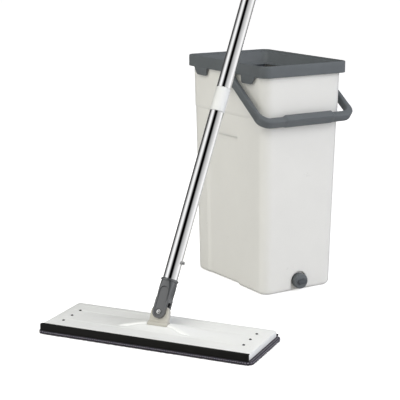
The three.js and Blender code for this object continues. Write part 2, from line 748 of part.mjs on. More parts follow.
const mopPad = () =>
  loft([
    roundedRing(PAD_LENGTH / 2 - 1.5, PAD_WIDTH / 2 - 1.5, 9, 0),
    roundedRing(PAD_LENGTH / 2, PAD_WIDTH / 2, 10, 1.2),
    roundedRing(PAD_LENGTH / 2, PAD_WIDTH / 2, 10, PAD_TOP_Z - 1),
    roundedRing(PAD_LENGTH / 2 - 1, PAD_WIDTH / 2 - 1, 9.5, PAD_TOP_Z),
  ]);

const tiltPin = () => rod('x', TILT_PIN_R, -TILT_PIN_HALF, TILT_PIN_HALF);

// ---------------------------------------------------------------- saddle

// Made with the tilt axis at the origin and the fold axis above it.  The tongue stands wider than
// the fork that folds round it.
const saddleBlock = () => {
  const barrel = rod('x', BARREL_R, -WINDOW_HALF[0] + GAP, WINDOW_HALF[0] - GAP);
  const sides = [[14.6, 0], [14.4, 8], [14.3, FOLD_RISE]];
  const crown = [[13.9, 22], [12.6, 24.6], [10.4, 26.6], [7.4, 27.8], [4, 28.2]];
  const right = [...sides, ...crown];
  const left = right.map(([x, z]) => [-x, z]).reverse();
  const tongue = prismAlongY(polygon([...right, ...left]), TONGUE_HALF_Y);
  const pinBore = rod('x', TILT_PIN_R + 0.1, -20, 20);
  const boltBore = rod('y', BOLT_R + 0.1, -10, 10, [0, 0, FOLD_RISE]);
  return cut(join(barrel, tongue), pinBore, boltBore);
};

// ---------------------------------------------------------------- pole, made along +Z from the fold axis

const knuckle = () => {
  const body = loft([
    roundedRing(FORK_R, FORK_HALF_Y, 2.4, 12),
    roundedRing(FORK_R + 0.3, FORK_HALF_Y + 0.3, 3, 26),
    roundedRing(KNUCKLE_HALF, KNUCKLE_HALF, 4.5, 38),
    roundedRing(KNUCKLE_HALF + 0.4, KNUCKLE_HALF + 0.4, 8, COLLAR_Z[0] + 0.5),
  ]);
  const collar = turned([
    [0, COLLAR_Z[0]],
    [COLLAR_R, COLLAR_Z[0]],
    [COLLAR_R, COLLAR_Z[1] - 0.6],
    [COLLAR_R - 0.6, COLLAR_Z[1]],
    [SPIGOT_R, COLLAR_Z[1]],
    [SPIGOT_R, SPIGOT_TOP_Z],
    [0, SPIGOT_TOP_Z],
  ]);
  const slot = box([-20, 20], [-TONGUE_HALF_Y - GAP, TONGUE_HALF_Y + GAP], [-20, KNUCKLE_SLOT_TOP]);
  const bore = rod('z', SPIGOT_BORE_R, 40, 100);
  const boltBore = rod('y', BOLT_R + 0.1, -20, 20);
  const buttonHole = rod('x', BUTTON_R + 0.35, 0, 20, [0, 0, BUTTON_Z]);
  return cut(join(forkEars(), body, collar), slot, knuckleRecess(), bore, boltBore, buttonHole);
};

// Round-ended ears, drawn as one thick plate that the slot divides.
const forkEars = () => {
  const outline = new THREE.Shape();
  outline.moveTo(FORK_R, 0);
  outline.lineTo(FORK_R, 20);
  outline.lineTo(-FORK_R, 20);
  outline.lineTo(-FORK_R, 0);
  outline.absarc(0, 0, FORK_R, Math.PI, 2 * Math.PI);
  return prismAlongY(outline, FORK_HALF_Y);
};

// Long shallow hollow in the front face, with the bolt's head in its lower end.
const knuckleRecess = () => {
  const radius = 6.6;
  const facing = new THREE.Shape();
  facing.absarc(0, 31, radius, 0, Math.PI);
  facing.absarc(0, 0, radius, Math.PI, 2 * Math.PI);
  facing.closePath();
  const reach = 4;
  return prismAlongY(facing, reach).translate([0, -FORK_HALF_Y - reach + RECESS_FACE_DEPTH, 0]);
};

// Cross-head bolt through the fork's ears: its head sits in the recess of the front ear.
const foldBolt = () => {
  const face = -FORK_HALF_Y + RECESS_FACE_DEPTH - GAP;
  const end = FORK_HALF_Y + 2.6;
  const head = [
    [0, -face + 1.9],
    [2, -face + 1.9],
    [3.7, -face + 1],
    [3.7, -face],
    [BOLT_R, -face],
    [BOLT_R, -end],
    [0, -end],
  ];
  const bolt = geometryOf(turned(head, 18)).rotateX(Math.PI / 2);
  const crossDepth = [face - OVERRUN - 1, face - 0.9];
  return cut(
    solidOf(bolt),
    box([-2.2, 2.2], crossDepth, [-0.45, 0.45]),
    box([-0.45, 0.45], crossDepth, [-2.2, 2.2]),
  );
};

const foldNut = () => {
  const hexagon = new THREE.CylinderGeometry(4.6, 4.6, 2.4, 6).translate(0, FORK_HALF_Y + GAP + 1.2, 0);
  return solidOf(hexagon).subtract(rod('y', BOLT_R + 0.1, 0, 20));
};

const tube = (from, to) => ringTube(TUBE_R, TUBE_BORE_R, from, to);

const lowerTube = () => {
  const buttonHole = rod('x', BUTTON_R + 0.35, 0, 20, [0, 0, BUTTON_Z]);
  return tube(COLLAR_Z[1] + GAP, LOWER_COUPLER_Z - GAP).subtract(buttonHole);
};

// Sleeve flush with the tubes, with a hollow spigot into the tube at each end.
const coupler = (from) => {
  const to = from + COUPLER_LENGTH;
  const flush = TUBE_R + 0.15;
  return turned([
    [SPIGOT_BORE_R, from - COUPLER_SPIGOT],
    [SPIGOT_R, from - COUPLER_SPIGOT],
    [SPIGOT_R, from],
    [flush - 0.5, from],
    [flush, from + 0.5],
    [flush, to - 0.5],
    [flush - 0.5, to],
    [SPIGOT_R, to],
    [SPIGOT_R, to + COUPLER_SPIGOT],
    [SPIGOT_BORE_R, to + COUPLER_SPIGOT],
    [SPIGOT_BORE_R, from - COUPLER_SPIGOT],
  ]);
};

const handGrip = () => {
  const bore = TUBE_R + GAP;
  const profile = [[bore, GRIP_START_Z], [bore + 2, GRIP_START_Z], [GRIP_R - 0.4, GRIP_START_Z + 5]];
  const ridges = 4;
  for (let i = 0; i < ridges; i += 1) {
    const at = GRIP_START_Z + 16 + i * 22;
    profile.push([GRIP_R, at], [GRIP_R - 1, at + 5], [GRIP_R, at + 10]);
  }
  profile.push([GRIP_R, POLE_END_Z - 12], [GRIP_R, POLE_END_Z], [bore, POLE_END_Z]);
  profile.push([bore, GRIP_START_Z]);
  return turned(profile);
};

// End cap plugged into the top of the grip, drawn out to a flat tab with a hole to hang it by.
const hangingCap = () => {
  const from = POLE_END_Z + GAP;
  const dome = [[GRIP_R, 0], [GRIP_R, 6], [GRIP_R - 3, 11], [0, 13]];
  const cap = turned([[0, from], ...dome.map(([radius, rise]) => [radius, from + rise])]);
  const outline = new THREE.Shape();
  outline.moveTo(-GRIP_R + 1, from + 2);
  outline.lineTo(GRIP_R - 1, from + 2);
  outline.absarc(0, from + 27, 12.5, 0, Math.PI);
  outline.closePath();
  const tab = prismAlongY(outline, 4);
  return join(cap, tab).subtract(rod('y', 8, -10, 10, [0, 0, from + 26]));
};

// ---------------------------------------------------------------- snap button in the lower tube

const snapButton = () => {
  const flange = 4;
  const profile = [
    [0, 5],
    [flange, 5],
    [flange, 6.2],
    [BUTTON_R, 6.2],
    [BUTTON_R, BUTTON_TIP_X - 1.6],
    [BUTTON_R - 0.8, BUTTON_TIP_X - 0.4],
    [0, BUTTON_TIP_X],
  ];
  return solidOf(geometryOf(turned(profile, 20)).rotateY(Math.PI / 2).translate(0, 0, BUTTON_Z));
};

// Bent leaf behind the button, inside the spigot.
const buttonSpring = () => {
  const outline = polygon([
    [4.7, BUTTON_Z + 6],
    [4.2, BUTTON_Z + 6],
    [4.2, BUTTON_Z - 8],
    [1.2, BUTTON_Z - 19],
    [-1.9, BUTTON_Z - 8],
    [-2.4, BUTTON_Z - 8],
    [1.2, BUTTON_Z - 21],
    [4.7, BUTTON_Z - 8],
  ]);
  return prismAlongY(outline, 2);
};

// ---------------------------------------------------------------- finishes

const finish = (color, roughness, metalness = 0) =>
  new THREE.MeshStandardMaterial({ color, roughness, metalness });

const finishes = {
  cream: finish(0xdedcd0, 0.45),
  slate: finish(0x5c636c, 0.5),
  dark: finish(0x3a3f46, 0.55),
  white: finish(0xf0f2f2, 0.4),
  warmGrey: finish(0xc8c6bc, 0.5),
  rubber: finish(0x1a1a18, 0.8),
  silicone: finish(0x9aa4ac, 0.6),
  pad: finish(0x4c4852, 1),
  hook: finish(0x2a2a2c, 0.95),
  steel: finish(0xc8c8c8, 0.3, 1),
  chrome: finish(0xe0e0e0, 0.08, 1),
};

const piece = (name, solid, material) => {
  const mesh = new THREE.Mesh(geometryOf(solid), material);
  mesh.name = name;
  return mesh;
};

// ---------------------------------------------------------------- assembly

const group = new THREE.Group();

group.add(
  piece('bucket_shell', bucketShell(), finishes.cream),
  piece('divider_panel', dividerPanel(), finishes.cream),
  piece('drain_seat', drainSeat(), finishes.dark),
  piece('drain_gasket', drainGasket(), finishes.rubber),
  piece('drain_plug', drainPlug(), finishes.slate),
  piece('bail_pin_left', bailPin(-1), finishes.slate),
  piece('bail_pin_right', bailPin(1), finishes.slate),
  piece('lid_frame', lidFrame(), finishes.slate),
  piece('wash_comb', washComb(), finishes.dark),
  piece('dry_blade_holder', dryBladeHolder(), finishes.dark),
  piece('dry_lip', dryLip(), finishes.silicone),
);

for (const [slotName, side] of [['wash', -1], ['dry', 1]]) {
  for (const [endName, end] of [['left', -1], ['right', 1]]) {
    group.add(
      piece(`${slotName}_roller_${endName}`, laidAlongX(roller(), end, side), finishes.white),
      piece(`${slotName}_axle_${endName}`, laidAlongX(rollerAxle(), end, side), finishes.steel),
      piece(`${slotName}_screw_${endName}`, scraperScrew(end * SCREW_X, side), finishes.steel),
    );
  }
}

const bail = new THREE.Group();
bail.position.set(0, ...BAIL_PIVOT);
bail.rotation.x = BAIL_DROP * degrees;
bail.add(piece('bail_handle', bailHandle(), finishes.slate));
group.add(bail);

const head = new THREE.Group();
head.position.set(...HEAD_CENTRE, 0);
head.rotation.z = HEAD_TURN * degrees;
head.add(
  piece('mop_plate', mopPlate(), finishes.white),
  piece('front_edge_strip', edgeStrip(-1), finishes.rubber),
  piece('rear_edge_strip', edgeStrip(1), finishes.rubber),
  piece('front_hook_strip', hookStrip(-1), finishes.hook),
  piece('rear_hook_strip', hookStrip(1), finishes.hook),
  piece('mop_pad', mopPad(), finishes.pad),
);
group.add(head);

const saddle = new THREE.Group();
saddle.position.set(0, 0, TILT_AXIS_Z);
saddle.rotation.x = -SADDLE_TILT * degrees;
saddle.add(
  piece('saddle_block', saddleBlock(), finishes.warmGrey),
  piece('tilt_pin', tiltPin(), finishes.steel),
);
head.add(saddle);

const pole = new THREE.Group();
pole.position.set(0, 0, FOLD_RISE);
pole.rotation.y = POLE_FOLD * degrees;
const middleTube = [LOWER_COUPLER_Z + COUPLER_LENGTH + GAP, UPPER_COUPLER_Z - GAP];
const upperTube = [UPPER_COUPLER_Z + COUPLER_LENGTH + GAP, POLE_END_Z - 4];
pole.add(
  piece('knuckle', knuckle(), finishes.slate),
  piece('fold_bolt', foldBolt(), finishes.steel),
  piece('fold_nut', foldNut(), finishes.steel),
  piece('lower_tube', lowerTube(), finishes.chrome),
  piece('lower_coupler', coupler(LOWER_COUPLER_Z), finishes.white),
  piece('middle_tube', tube(...middleTube), finishes.chrome),
  piece('upper_coupler', coupler(UPPER_COUPLER_Z), finishes.white),
  piece('upper_tube', tube(...upperTube), finishes.chrome),
  piece('hand_grip', handGrip(), finishes.slate),
  piece('hanging_cap', hangingCap(), finishes.slate),
  piece('snap_button', snapButton(), finishes.steel),
  piece('button_spring', buttonSpring(), finishes.steel),
);
saddle.add(pole);

export default group;
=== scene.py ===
"""Looks of the flat mop and its two-chamber wringer bucket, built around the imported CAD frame.

Pieces are drawn in millimetres in the frame of the group that holds them (bucket, bail, mop head,
saddle or pole), then carried into the row frame in metres. The places and directions of those
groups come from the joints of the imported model.
"""

import json
import math
import random

import bmesh
import bpy
import numpy as np
from mathutils import Matrix, Vector, noise


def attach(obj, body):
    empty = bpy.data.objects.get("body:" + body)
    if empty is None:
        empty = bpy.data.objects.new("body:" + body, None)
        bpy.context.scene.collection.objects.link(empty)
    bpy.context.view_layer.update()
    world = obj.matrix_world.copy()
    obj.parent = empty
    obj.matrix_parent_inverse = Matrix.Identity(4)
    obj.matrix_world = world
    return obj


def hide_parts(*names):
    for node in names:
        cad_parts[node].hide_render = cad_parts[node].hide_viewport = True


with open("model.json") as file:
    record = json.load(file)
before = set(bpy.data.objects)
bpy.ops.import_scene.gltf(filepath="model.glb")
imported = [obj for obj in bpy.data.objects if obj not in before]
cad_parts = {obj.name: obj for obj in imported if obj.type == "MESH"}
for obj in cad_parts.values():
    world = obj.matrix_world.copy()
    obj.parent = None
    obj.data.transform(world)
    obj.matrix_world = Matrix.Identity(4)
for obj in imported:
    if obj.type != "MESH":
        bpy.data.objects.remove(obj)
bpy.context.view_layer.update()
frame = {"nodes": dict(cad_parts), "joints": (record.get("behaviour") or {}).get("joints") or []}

MM = 0.001
TAU = 2 * math.pi

# ---------------------------------------------------------------- sizes, in millimetres

# Bucket: half sizes along X and Y at the base and at the taper's reference height.
BASE_HALF = (69.2, 101.0)
TOP_HALF = (76.3, 107.9)
TAPER_HEIGHT = 362.0
RIM_Z = 363.7
WALL = 2.6
FLOOR = 3.0
FOOT_RADIUS = 7.0
CORNER_LOW, CORNER_HIGH = 16.0, 18.0
BAND_Z, BAND_PROUD = 284.0, 0.9
RECESS_FRONT_Y, RECESS_REAR_Y = -28.5, 64.0
RECESS_LIP = 1.5
RECESS_TURN_Y, RECESS_TURN_SHARE = 55.5, 0.36  # the dent starts with a steeper band at its rear
RECESS_DEPTH = 5.0
RECESS_TOP_Z, RECESS_TOP_SLOPE = 250.0, 4.0

# Drain in the front wall.
DRAIN_Z = 17.0
POCKET_R, POCKET_Y = 15.5, -97.0
BOSS_R, BOSS_Y = 18.5, -92.2
BOSS_FOOT_Z, BOSS_DEPTH_IN_WALL = 2.6, 2.0
SEAT_HOLE_R = 9.6
PLUG_R, STEM_R, PLUG_THICKNESS = 12.5, 6.0, 10.5
GASKET_THICKNESS = 1.8
WING_X, WING_R, WING_PROUD = 5.2, 3.5, 4.1

# Bail handle and its pivots.
BAIL_DROP = math.radians(35.8)
ARM_X = (84.0, 92.0)
REACH = (108.9, 122.0)
BAIL_LIFT, BAIL_HEIGHT = 10.0, 14.0
EAR_R, PIVOT_BOSS_R, PIVOT_PIN_R = 11.0, 8.0, 3.8

# Lid.
LID_HALF = (82.6, 114.0)
LID_TOP_Z, SKIRT_Z, LEDGE_Z, TRAY_Z = 370.5, 352.0, 367.0, 350.0
LID_SKIN, TRAY_SKIN = 2.6, 2.4
FUNNEL_TOP = (72.0, 103.4)
FUNNEL_FLOOR = (67.0, 98.4)
SLOT_HALF_X = 60.5
SLOT_Y = (20.0, 82.0)
TAB_Y, TAB_Z = (50.0, 88.0), 340.0
ROLLER_X, ROLLER_Y, ROLLER_Z = (32.5, 56.0), 30.0, 333.0
LUG_THICKNESS, AXLE_R = 2.6, 2.4

# Mop head.
PLATE_LENGTH, PLATE_WIDTH = 324.8, 110.8
PLATE_BOTTOM_Z, PLATE_TOP_Z = 5.6, 14.4
STRIP_WIDTH = 3.6
REAR_STRIP_TOP_Z = 8.6
PAD_LENGTH, PAD_WIDTH, PAD_TOP_Z = 337.0, 121.0, 5.2
TILT_AXIS_Z = 17.0
MOUND_TOP_Z = 19.0
MOUND_FOOT_HALF, MOUND_CREST_HALF = (46.0, 24.0), (24.0, 9.6)
FAIRING_TOP_Z = 21.0
FAIRING_X = (16.2, 25.0, 57.0)
PLATE_LINES_Y = (-44.0, -22.0, 22.0, 44.0)
PLATE_HOLE_R = 2.1
WINDOW_HALF = (16.0, 8.6)
TILT_PIN_R = 2.0

# Saddle and pole, measured from the fold axis along the pole.
FOLD_RISE = 19.0
BARREL_R = 6.3
TONGUE_HALF_Y = 4.0
FORK_R, FORK_HALF_Y = 9.6, 9.6
BOLT_R = 2.5
KNUCKLE_SLOT_TOP = 16.0
KNUCKLE_HALF, COLLAR_R = 10.4, 13.0
COLLAR_Z = (46.6, 49.8)
SPIGOT_TOP_Z = 96.0
RECESS_FACE_DEPTH = 1.1
TUBE_R, TUBE_BORE_R = 10.8, 10.1
SPIGOT_R, SPIGOT_BORE_R = 9.8, 7.6
COUPLER_LENGTH, COUPLER_SPIGOT = 36.3, 34.0
LOWER_COUPLER_Z, UPPER_COUPLER_Z = 308.1, 637.6
POLE_END_Z, GRIP_START_Z, GRIP_R = 1120.0, 985.0, 14.6
BUTTON_Z, BUTTON_R, BUTTON_TIP_X = 76.8, 2.8, 16.3
GAP = 0.3

# ---------------------------------------------------------------- frames of the moving groups

joints = {joint["name"]: joint for joint in frame["joints"]}


def axes_matrix(origin, x, y, z):
    matrix = Matrix((x, y, z)).transposed().to_4x4()
    matrix.translation = origin
    return matrix


def group_matrices():
    tilt = joints["saddle_tilt"]
    fold = joints["pole_fold"]
    along_head = -Vector(tilt["axis"]).normalized()
    fold_axis = Vector(fold["axis"]).normalized()
    across_pole = -Vector(joints["button_press"]["axis"]).normalized()
    tilt_place = Vector(tilt["pos_m"])
    up = Vector((0, 0, 1))
    head_place = Vector((tilt_place.x, tilt_place.y, 0))
    swing = joints["bail_swing"]
    return {
        "bucket": Matrix.Identity(4),
        "head": axes_matrix(head_place, along_head, up.cross(along_head), up),
        "saddle": axes_matrix(tilt_place, along_head, fold_axis, along_head.cross(fold_axis)),
        "pole": axes_matrix(Vector(fold["pos_m"]), across_pole, fold_axis, across_pole.cross(fold_axis)),
        "bail": Matrix.Translation(Vector(swing["pos_m"])) @ Matrix.Rotation(BAIL_DROP, 4, "X"),
    }


GROUPS = group_matrices()

# ---------------------------------------------------------------- camera


def make_camera():
    azimuth, elevation = math.radians(-32.18), math.radians(12.90)
    distance = 1.947
    target = Vector((-0.1261, 0, 0.1467))
    back = Vector(
        (
            math.sin(azimuth) * math.cos(elevation),
            -math.cos(azimuth) * math.cos(elevation),
            math.sin(elevation),
        )
    )
    data = bpy.data.cameras.new("camera")
    data.sensor_width = 36
    data.lens = 108.19
    camera = bpy.data.objects.new("camera", data)
    camera.location = target + back * distance
    camera.rotation_mode = "QUATERNION"
    camera.rotation_quaternion = (-back).to_track_quat("-Z", "Y")
    bpy.context.scene.collection.objects.link(camera)
    bpy.context.scene.camera = camera
    return math.atan2(back.y, back.x)


# ---------------------------------------------------------------- mesh helpers


def new_object(name, vertices, faces):
    mesh = bpy.data.meshes.new(name)
    mesh.from_pydata([tuple(v) for v in vertices], [], faces)
    mesh.validate()
    obj = bpy.data.objects.new(name, mesh)
    bpy.context.scene.collection.objects.link(obj)
    return obj


def loft(name, rings, capped=True, looped=False):
    """Quads between rings of equal point counts. looped joins the last ring to the first."""
    count = len(rings[0])
    vertices = [point for ring in rings for point in ring]
    faces = []
    spans = len(rings) if looped else len(rings) - 1
    for r in range(spans):
        low, high = r * count, (r + 1) % len(rings) * count
        for i in range(count):
            j = (i + 1) % count
            faces.append((low + i, low + j, high + j, high + i))
    if capped and not looped:
        last = (len(rings) - 1) * count
        faces.append(tuple(range(count))[::-1])
        faces.append(tuple(range(last, last + count)))
    obj = new_object(name, vertices, faces)
    face_outwards(obj)
    return obj


def face_outwards(obj):
    mesh = bmesh.new()
    mesh.from_mesh(obj.data)
    bmesh.ops.recalc_face_normals(mesh, faces=mesh.faces)
    if mesh.calc_volume(signed=True) < 0:
        bmesh.ops.reverse_faces(mesh, faces=mesh.faces)
    mesh.to_mesh(obj.data)
    mesh.free()


def circle(radius, steps):
    return [(radius * math.cos(TAU * i / steps), radius * math.sin(TAU * i / steps)) for i in range(steps)]


def lathe(name, profile, steps=96):
    """A profile of (radius, height) pairs turned about Z. It closes on itself or ends on the axis."""
    on_axis = profile[0][0] == 0
    outline = profile[1:-1] if on_axis else profile
    rings = [[(x, y, height) for x, y in circle(radius, steps)] for radius, height in outline]
    if not on_axis:
        return loft(name, rings, looped=True)
    count = len(outline)
    vertices = [point for ring in rings for point in ring]
    vertices += [(0, 0, profile[0][1]), (0, 0, profile[-1][1])]
    low, high = count * steps, count * steps + 1
    faces = []
    for r in range(count - 1):
        for i in range(steps):
            j = (i + 1) % steps
            faces.append((r * steps + i, r * steps + j, (r + 1) * steps + j, (r + 1) * steps + i))
    for i in range(steps):
        j = (i + 1) % steps
        faces.append((low, j, i))
        faces.append((high, (count - 1) * steps + i, (count - 1) * steps + j))
    obj = new_object(name, vertices, faces)
    face_outwards(obj)
    return obj


def rounded_profile(profile, radius, steps=4):
    """The same closed profile with its corners rounded off."""
    out = []
    count = len(profile)
    for i, corner in enumerate(profile):
        here = Vector(corner)
        back = Vector(profile[i - 1]) - here
        ahead = Vector(profile[(i + 1) % count]) - here
        reach = min(radius, back.length * 0.45, ahead.length * 0.45)
        start = here + back.normalized() * reach
        end = here + ahead.normalized() * reach
        for k in range(steps + 1):
            t = k / steps
            point = start * (1 - t) ** 2 + here * 2 * t * (1 - t) + end * t**2
            out.append(tuple(point))
    return out


def turned(obj, matrix):
    obj.data.transform(matrix)
    return obj


def shifted(obj, x=0.0, y=0.0, z=0.0):
    return turned(obj, Matrix.Translation((x, y, z)))


def rod(axis, radius, start, end, centre=(0, 0, 0), steps=64):
    bar = lathe("rod", [(0, start), (radius, start), (radius, end), (0, end)], steps)
    turn = {
        "x": Matrix.Rotation(math.pi / 2, 4, "Y"),
        "y": Matrix.Rotation(-math.pi / 2, 4, "X"),
        "z": Matrix.Identity(4),
    }[axis]
    return shifted(turned(bar, turn), *centre)


def block(x, y, z):
    vertices = [(a, b, c) for c in z for b in y for a in x]
    faces = [(0, 2, 3, 1), (4, 5, 7, 6), (0, 1, 5, 4), (2, 6, 7, 3), (0, 4, 6, 2), (1, 3, 7, 5)]
    obj = new_object("block", vertices, faces)
    face_outwards(obj)
    return obj


def prism(outline, low, high, axis="z"):
    """An outline carried along an axis. For x the outline is (y, z) and for y it is (x, z)."""
    place = {
        "z": lambda a, b, t: (a, b, t),
        "x": lambda a, b, t: (t, a, b),
        "y": lambda a, b, t: (a, t, b),
    }[axis]
    rings = [[place(a, b, t) for a, b in outline] for t in (low, high)]
    return loft("prism", rings)


def arc(centre, radius, start, end, steps=16):
    """Points of an arc, with its angles in degrees."""
    angles = [math.radians(start + (end - start) * i / steps) for i in range(steps + 1)]
    return [(centre[0] + radius * math.cos(a), centre[1] + radius * math.sin(a)) for a in angles]


def rounded_rectangle(half_x, half_y, radius, steps=8):
    points = []
    for quarter, (sx, sy) in enumerate([(1, 1), (-1, 1), (-1, -1), (1, -1)]):
        centre = (sx * (half_x - radius), sy * (half_y - radius))
        points += arc(centre, radius, 90 * quarter, 90 * quarter + 90, steps)
    return points


def rectangle_ring(half_x, half_y, radius, z, steps=10):
    return [(x, y, z) for x, y in rounded_rectangle(half_x, half_y, radius, steps)]


def apply_modifiers(obj):
    graph = bpy.context.evaluated_depsgraph_get()
    graph.update()
    mesh = bpy.data.meshes.new_from_object(obj.evaluated_get(graph))
    obj.modifiers.clear()
    obj.data = mesh
    return obj


def combine(target, tools, operation):
    """Joins or cuts target with each tool in turn, and removes the tools."""
    for tool in tools:
        modifier = target.modifiers.new("boolean", "BOOLEAN")
        modifier.operation = operation
        modifier.solver = "EXACT"
        modifier.object = tool
        apply_modifiers(target)
        bpy.data.objects.remove(tool)
    return target


def add(target, *tools):
    return combine(target, tools, "UNION")


def cut(target, *tools):
    return combine(target, tools, "DIFFERENCE")


def bevelled(obj, width, segments=3, angle=35):
    weld(obj)
    modifier = obj.modifiers.new("bevel", "BEVEL")
    modifier.width = width
    modifier.segments = segments
    modifier.limit_method = "ANGLE"
    modifier.angle_limit = math.radians(angle)
    modifier.use_clamp_overlap = True
    modifier.miter_outer = "MITER_ARC"
    return apply_modifiers(obj)


def weld(obj, distance=0.002):
    """Merges doubled points and dissolves needless edges in flat faces, left by cuts."""
    mesh = bmesh.new()
    mesh.from_mesh(obj.data)
    bmesh.ops.remove_doubles(mesh, verts=mesh.verts, dist=distance)
    bmesh.ops.dissolve_limit(
        mesh,
        angle_limit=math.radians(0.3),
        verts=mesh.verts,
        edges=mesh.edges,
        use_dissolve_boundaries=False,
    )
    mesh.to_mesh(obj.data)
    mesh.free()
    return obj


def joined(name, parts):
    """One object from several that don't touch, or that lie against each other."""
    mesh = bmesh.new()
    for part in parts:
        mesh.from_mesh(part.data)
        bpy.data.objects.remove(part)
    data = bpy.data.meshes.new(name)
    mesh.to_mesh(data)
    mesh.free()
    obj = bpy.data.objects.new(name, data)
    bpy.context.scene.collection.objects.link(obj)
    return obj


def finish_piece(obj, name, group, body, material, nodes, angle=32):
    """Names a piece, carries it into the row frame and gives it its finish, body and nodes."""
    obj.name = name
    obj.data.name = name
    obj.data.transform(GROUPS[group] @ Matrix.Scale(MM, 4))
    obj.data.shade_smooth()
    obj.data.set_sharp_from_angle(angle=math.radians(angle))
    obj.data.materials.clear()
    obj.data.materials.append(material)
    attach(obj, body)
    if nodes:
        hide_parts(*nodes)
    return obj


# ---------------------------------------------------------------- materials


def material_shell(name):
    material = bpy.data.materials.new(name)
    material.use_nodes = True
    nodes = material.node_tree.nodes
    return material, nodes, material.node_tree.links, nodes["Principled BSDF"]


def noise_node(nodes, links, scale, detail=4.0, roughness=0.55, stretch=(1, 1, 1)):
    coordinates = nodes.new("ShaderNodeTexCoord")
    mapping = nodes.new("ShaderNodeMapping")
    mapping.inputs["Scale"].default_value = stretch
    texture = nodes.new("ShaderNodeTexNoise")
    texture.inputs["Scale"].default_value = scale
    texture.inputs["Detail"].default_value = detail
    texture.inputs["Roughness"].default_value = roughness
    links.new(coordinates.outputs["Object"], mapping.inputs["Vector"])
    links.new(mapping.outputs["Vector"], texture.inputs["Vector"])
    return texture


def colour_range(nodes, links, factor, dark, light, low=0.3, high=0.7):
    ramp = nodes.new("ShaderNodeValToRGB")
    ramp.color_ramp.elements[0].position = low
    ramp.color_ramp.elements[0].color = (*dark, 1)
    ramp.color_ramp.elements[1].position = high
    ramp.color_ramp.elements[1].color = (*light, 1)
    links.new(factor, ramp.inputs["Fac"])
    return ramp.outputs["Color"]


def value_range(nodes, links, factor, low, high):
    spread = nodes.new("ShaderNodeMapRange")
    spread.inputs["From Min"].default_value = 0.3
    spread.inputs["From Max"].default_value = 0.7
    spread.inputs["To Min"].default_value = low
    spread.inputs["To Max"].default_value = high
    links.new(factor, spread.inputs["Value"])
    return spread.outputs["Result"]


def bump(nodes, links, shader, height, strength, distance):
    node = nodes.new("ShaderNodeBump")
    node.inputs["Strength"].default_value = strength
    node.inputs["Distance"].default_value = distance
    links.new(height, node.inputs["Height"])
    links.new(node.outputs["Normal"], shader.inputs["Normal"])
    return node


def shade_of(colour, factor):
    return tuple(min(1.0, channel * factor) for channel in colour)


def moulded_plastic(name, colour, roughness, grain=1400.0, grain_depth=0.00004, spread=0.04, ior=1.5):
    """Injection moulding: a fine even grain and a faint mottle in colour and gloss."""
    material, nodes, links, shader = material_shell(name)
    mottle = noise_node(nodes, links, 22.0, 5.0, 0.6)
    colour_out = colour_range(
        nodes, links, mottle.outputs["Fac"], shade_of(colour, 1 - spread), shade_of(colour, 1 + spread)
    )
    links.new(colour_out, shader.inputs["Base Color"])
    smudge = noise_node(nodes, links, 55.0, 6.0, 0.7)
    links.new(
        value_range(nodes, links, smudge.outputs["Fac"], roughness - 0.05, roughness + 0.07),
        shader.inputs["Roughness"],
    )
    fine = noise_node(nodes, links, grain, 2.0, 0.5)
    bump(nodes, links, shader, fine.outputs["Fac"], 0.35, grain_depth)
    shader.inputs["Specular IOR Level"].default_value = 0.45
    shader.inputs["IOR"].default_value = ior
    return material


def polished_tube(name):
    """Bright plated tube: mirror finish with a faint fine bump."""
    material, nodes, links, shader = material_shell(name)
    shader.inputs["Metallic"].default_value = 1.0
    wear = noise_node(nodes, links, 30.0, 5.0, 0.6)
    links.new(
        colour_range(nodes, links, wear.outputs["Fac"], (0.80, 0.80, 0.80), (0.90, 0.90, 0.91)),
        shader.inputs["Base Color"],
    )
    smear = noise_node(nodes, links, 90.0, 6.0, 0.7)
    links.new(value_range(nodes, links, smear.outputs["Fac"], 0.035, 0.075), shader.inputs["Roughness"])
    fine = noise_node(nodes, links, 260.0, 3.0, 0.6)
    bump(nodes, links, shader, fine.outputs["Fac"], 0.06, 0.00002)
    return material


def brushed_steel(name, dark=0.52, light=0.72, roughness=0.22):
    material, nodes, links, shader = material_shell(name)
    shader.inputs["Metallic"].default_value = 1.0
    wear = noise_node(nodes, links, 160.0, 5.0, 0.6)
    links.new(
        colour_range(nodes, links, wear.outputs["Fac"], (dark, dark, dark), (light, light, light)),
        shader.inputs["Base Color"],
    )
    worn = value_range(nodes, links, wear.outputs["Fac"], roughness, roughness + 0.16)
    links.new(worn, shader.inputs["Roughness"])
    fine = noise_node(nodes, links, 1800.0, 2.0, 0.5, (1, 1, 0.1))
    bump(nodes, links, shader, fine.outputs["Fac"], 0.2, 0.00002)
    return material


def rubber(name, colour, roughness=0.62, shine=0.4):
    material, nodes, links, shader = material_shell(name)
    shader.inputs["Specular IOR Level"].default_value = shine
    bloom = noise_node(nodes, links, 60.0, 6.0, 0.65)
    links.new(
        colour_range(nodes, links, bloom.outputs["Fac"], shade_of(colour, 0.8), shade_of(colour, 1.35)),
        shader.inputs["Base Color"],
    )
    links.new(
        value_range(nodes, links, bloom.outputs["Fac"], roughness - 0.08, roughness + 0.1),
        shader.inputs["Roughness"],
    )
    fine = noise_node(nodes, links, 900.0, 3.0, 0.6)
    bump(nodes, links, shader, fine.outputs["Fac"], 0.4, 0.00005)
    return material


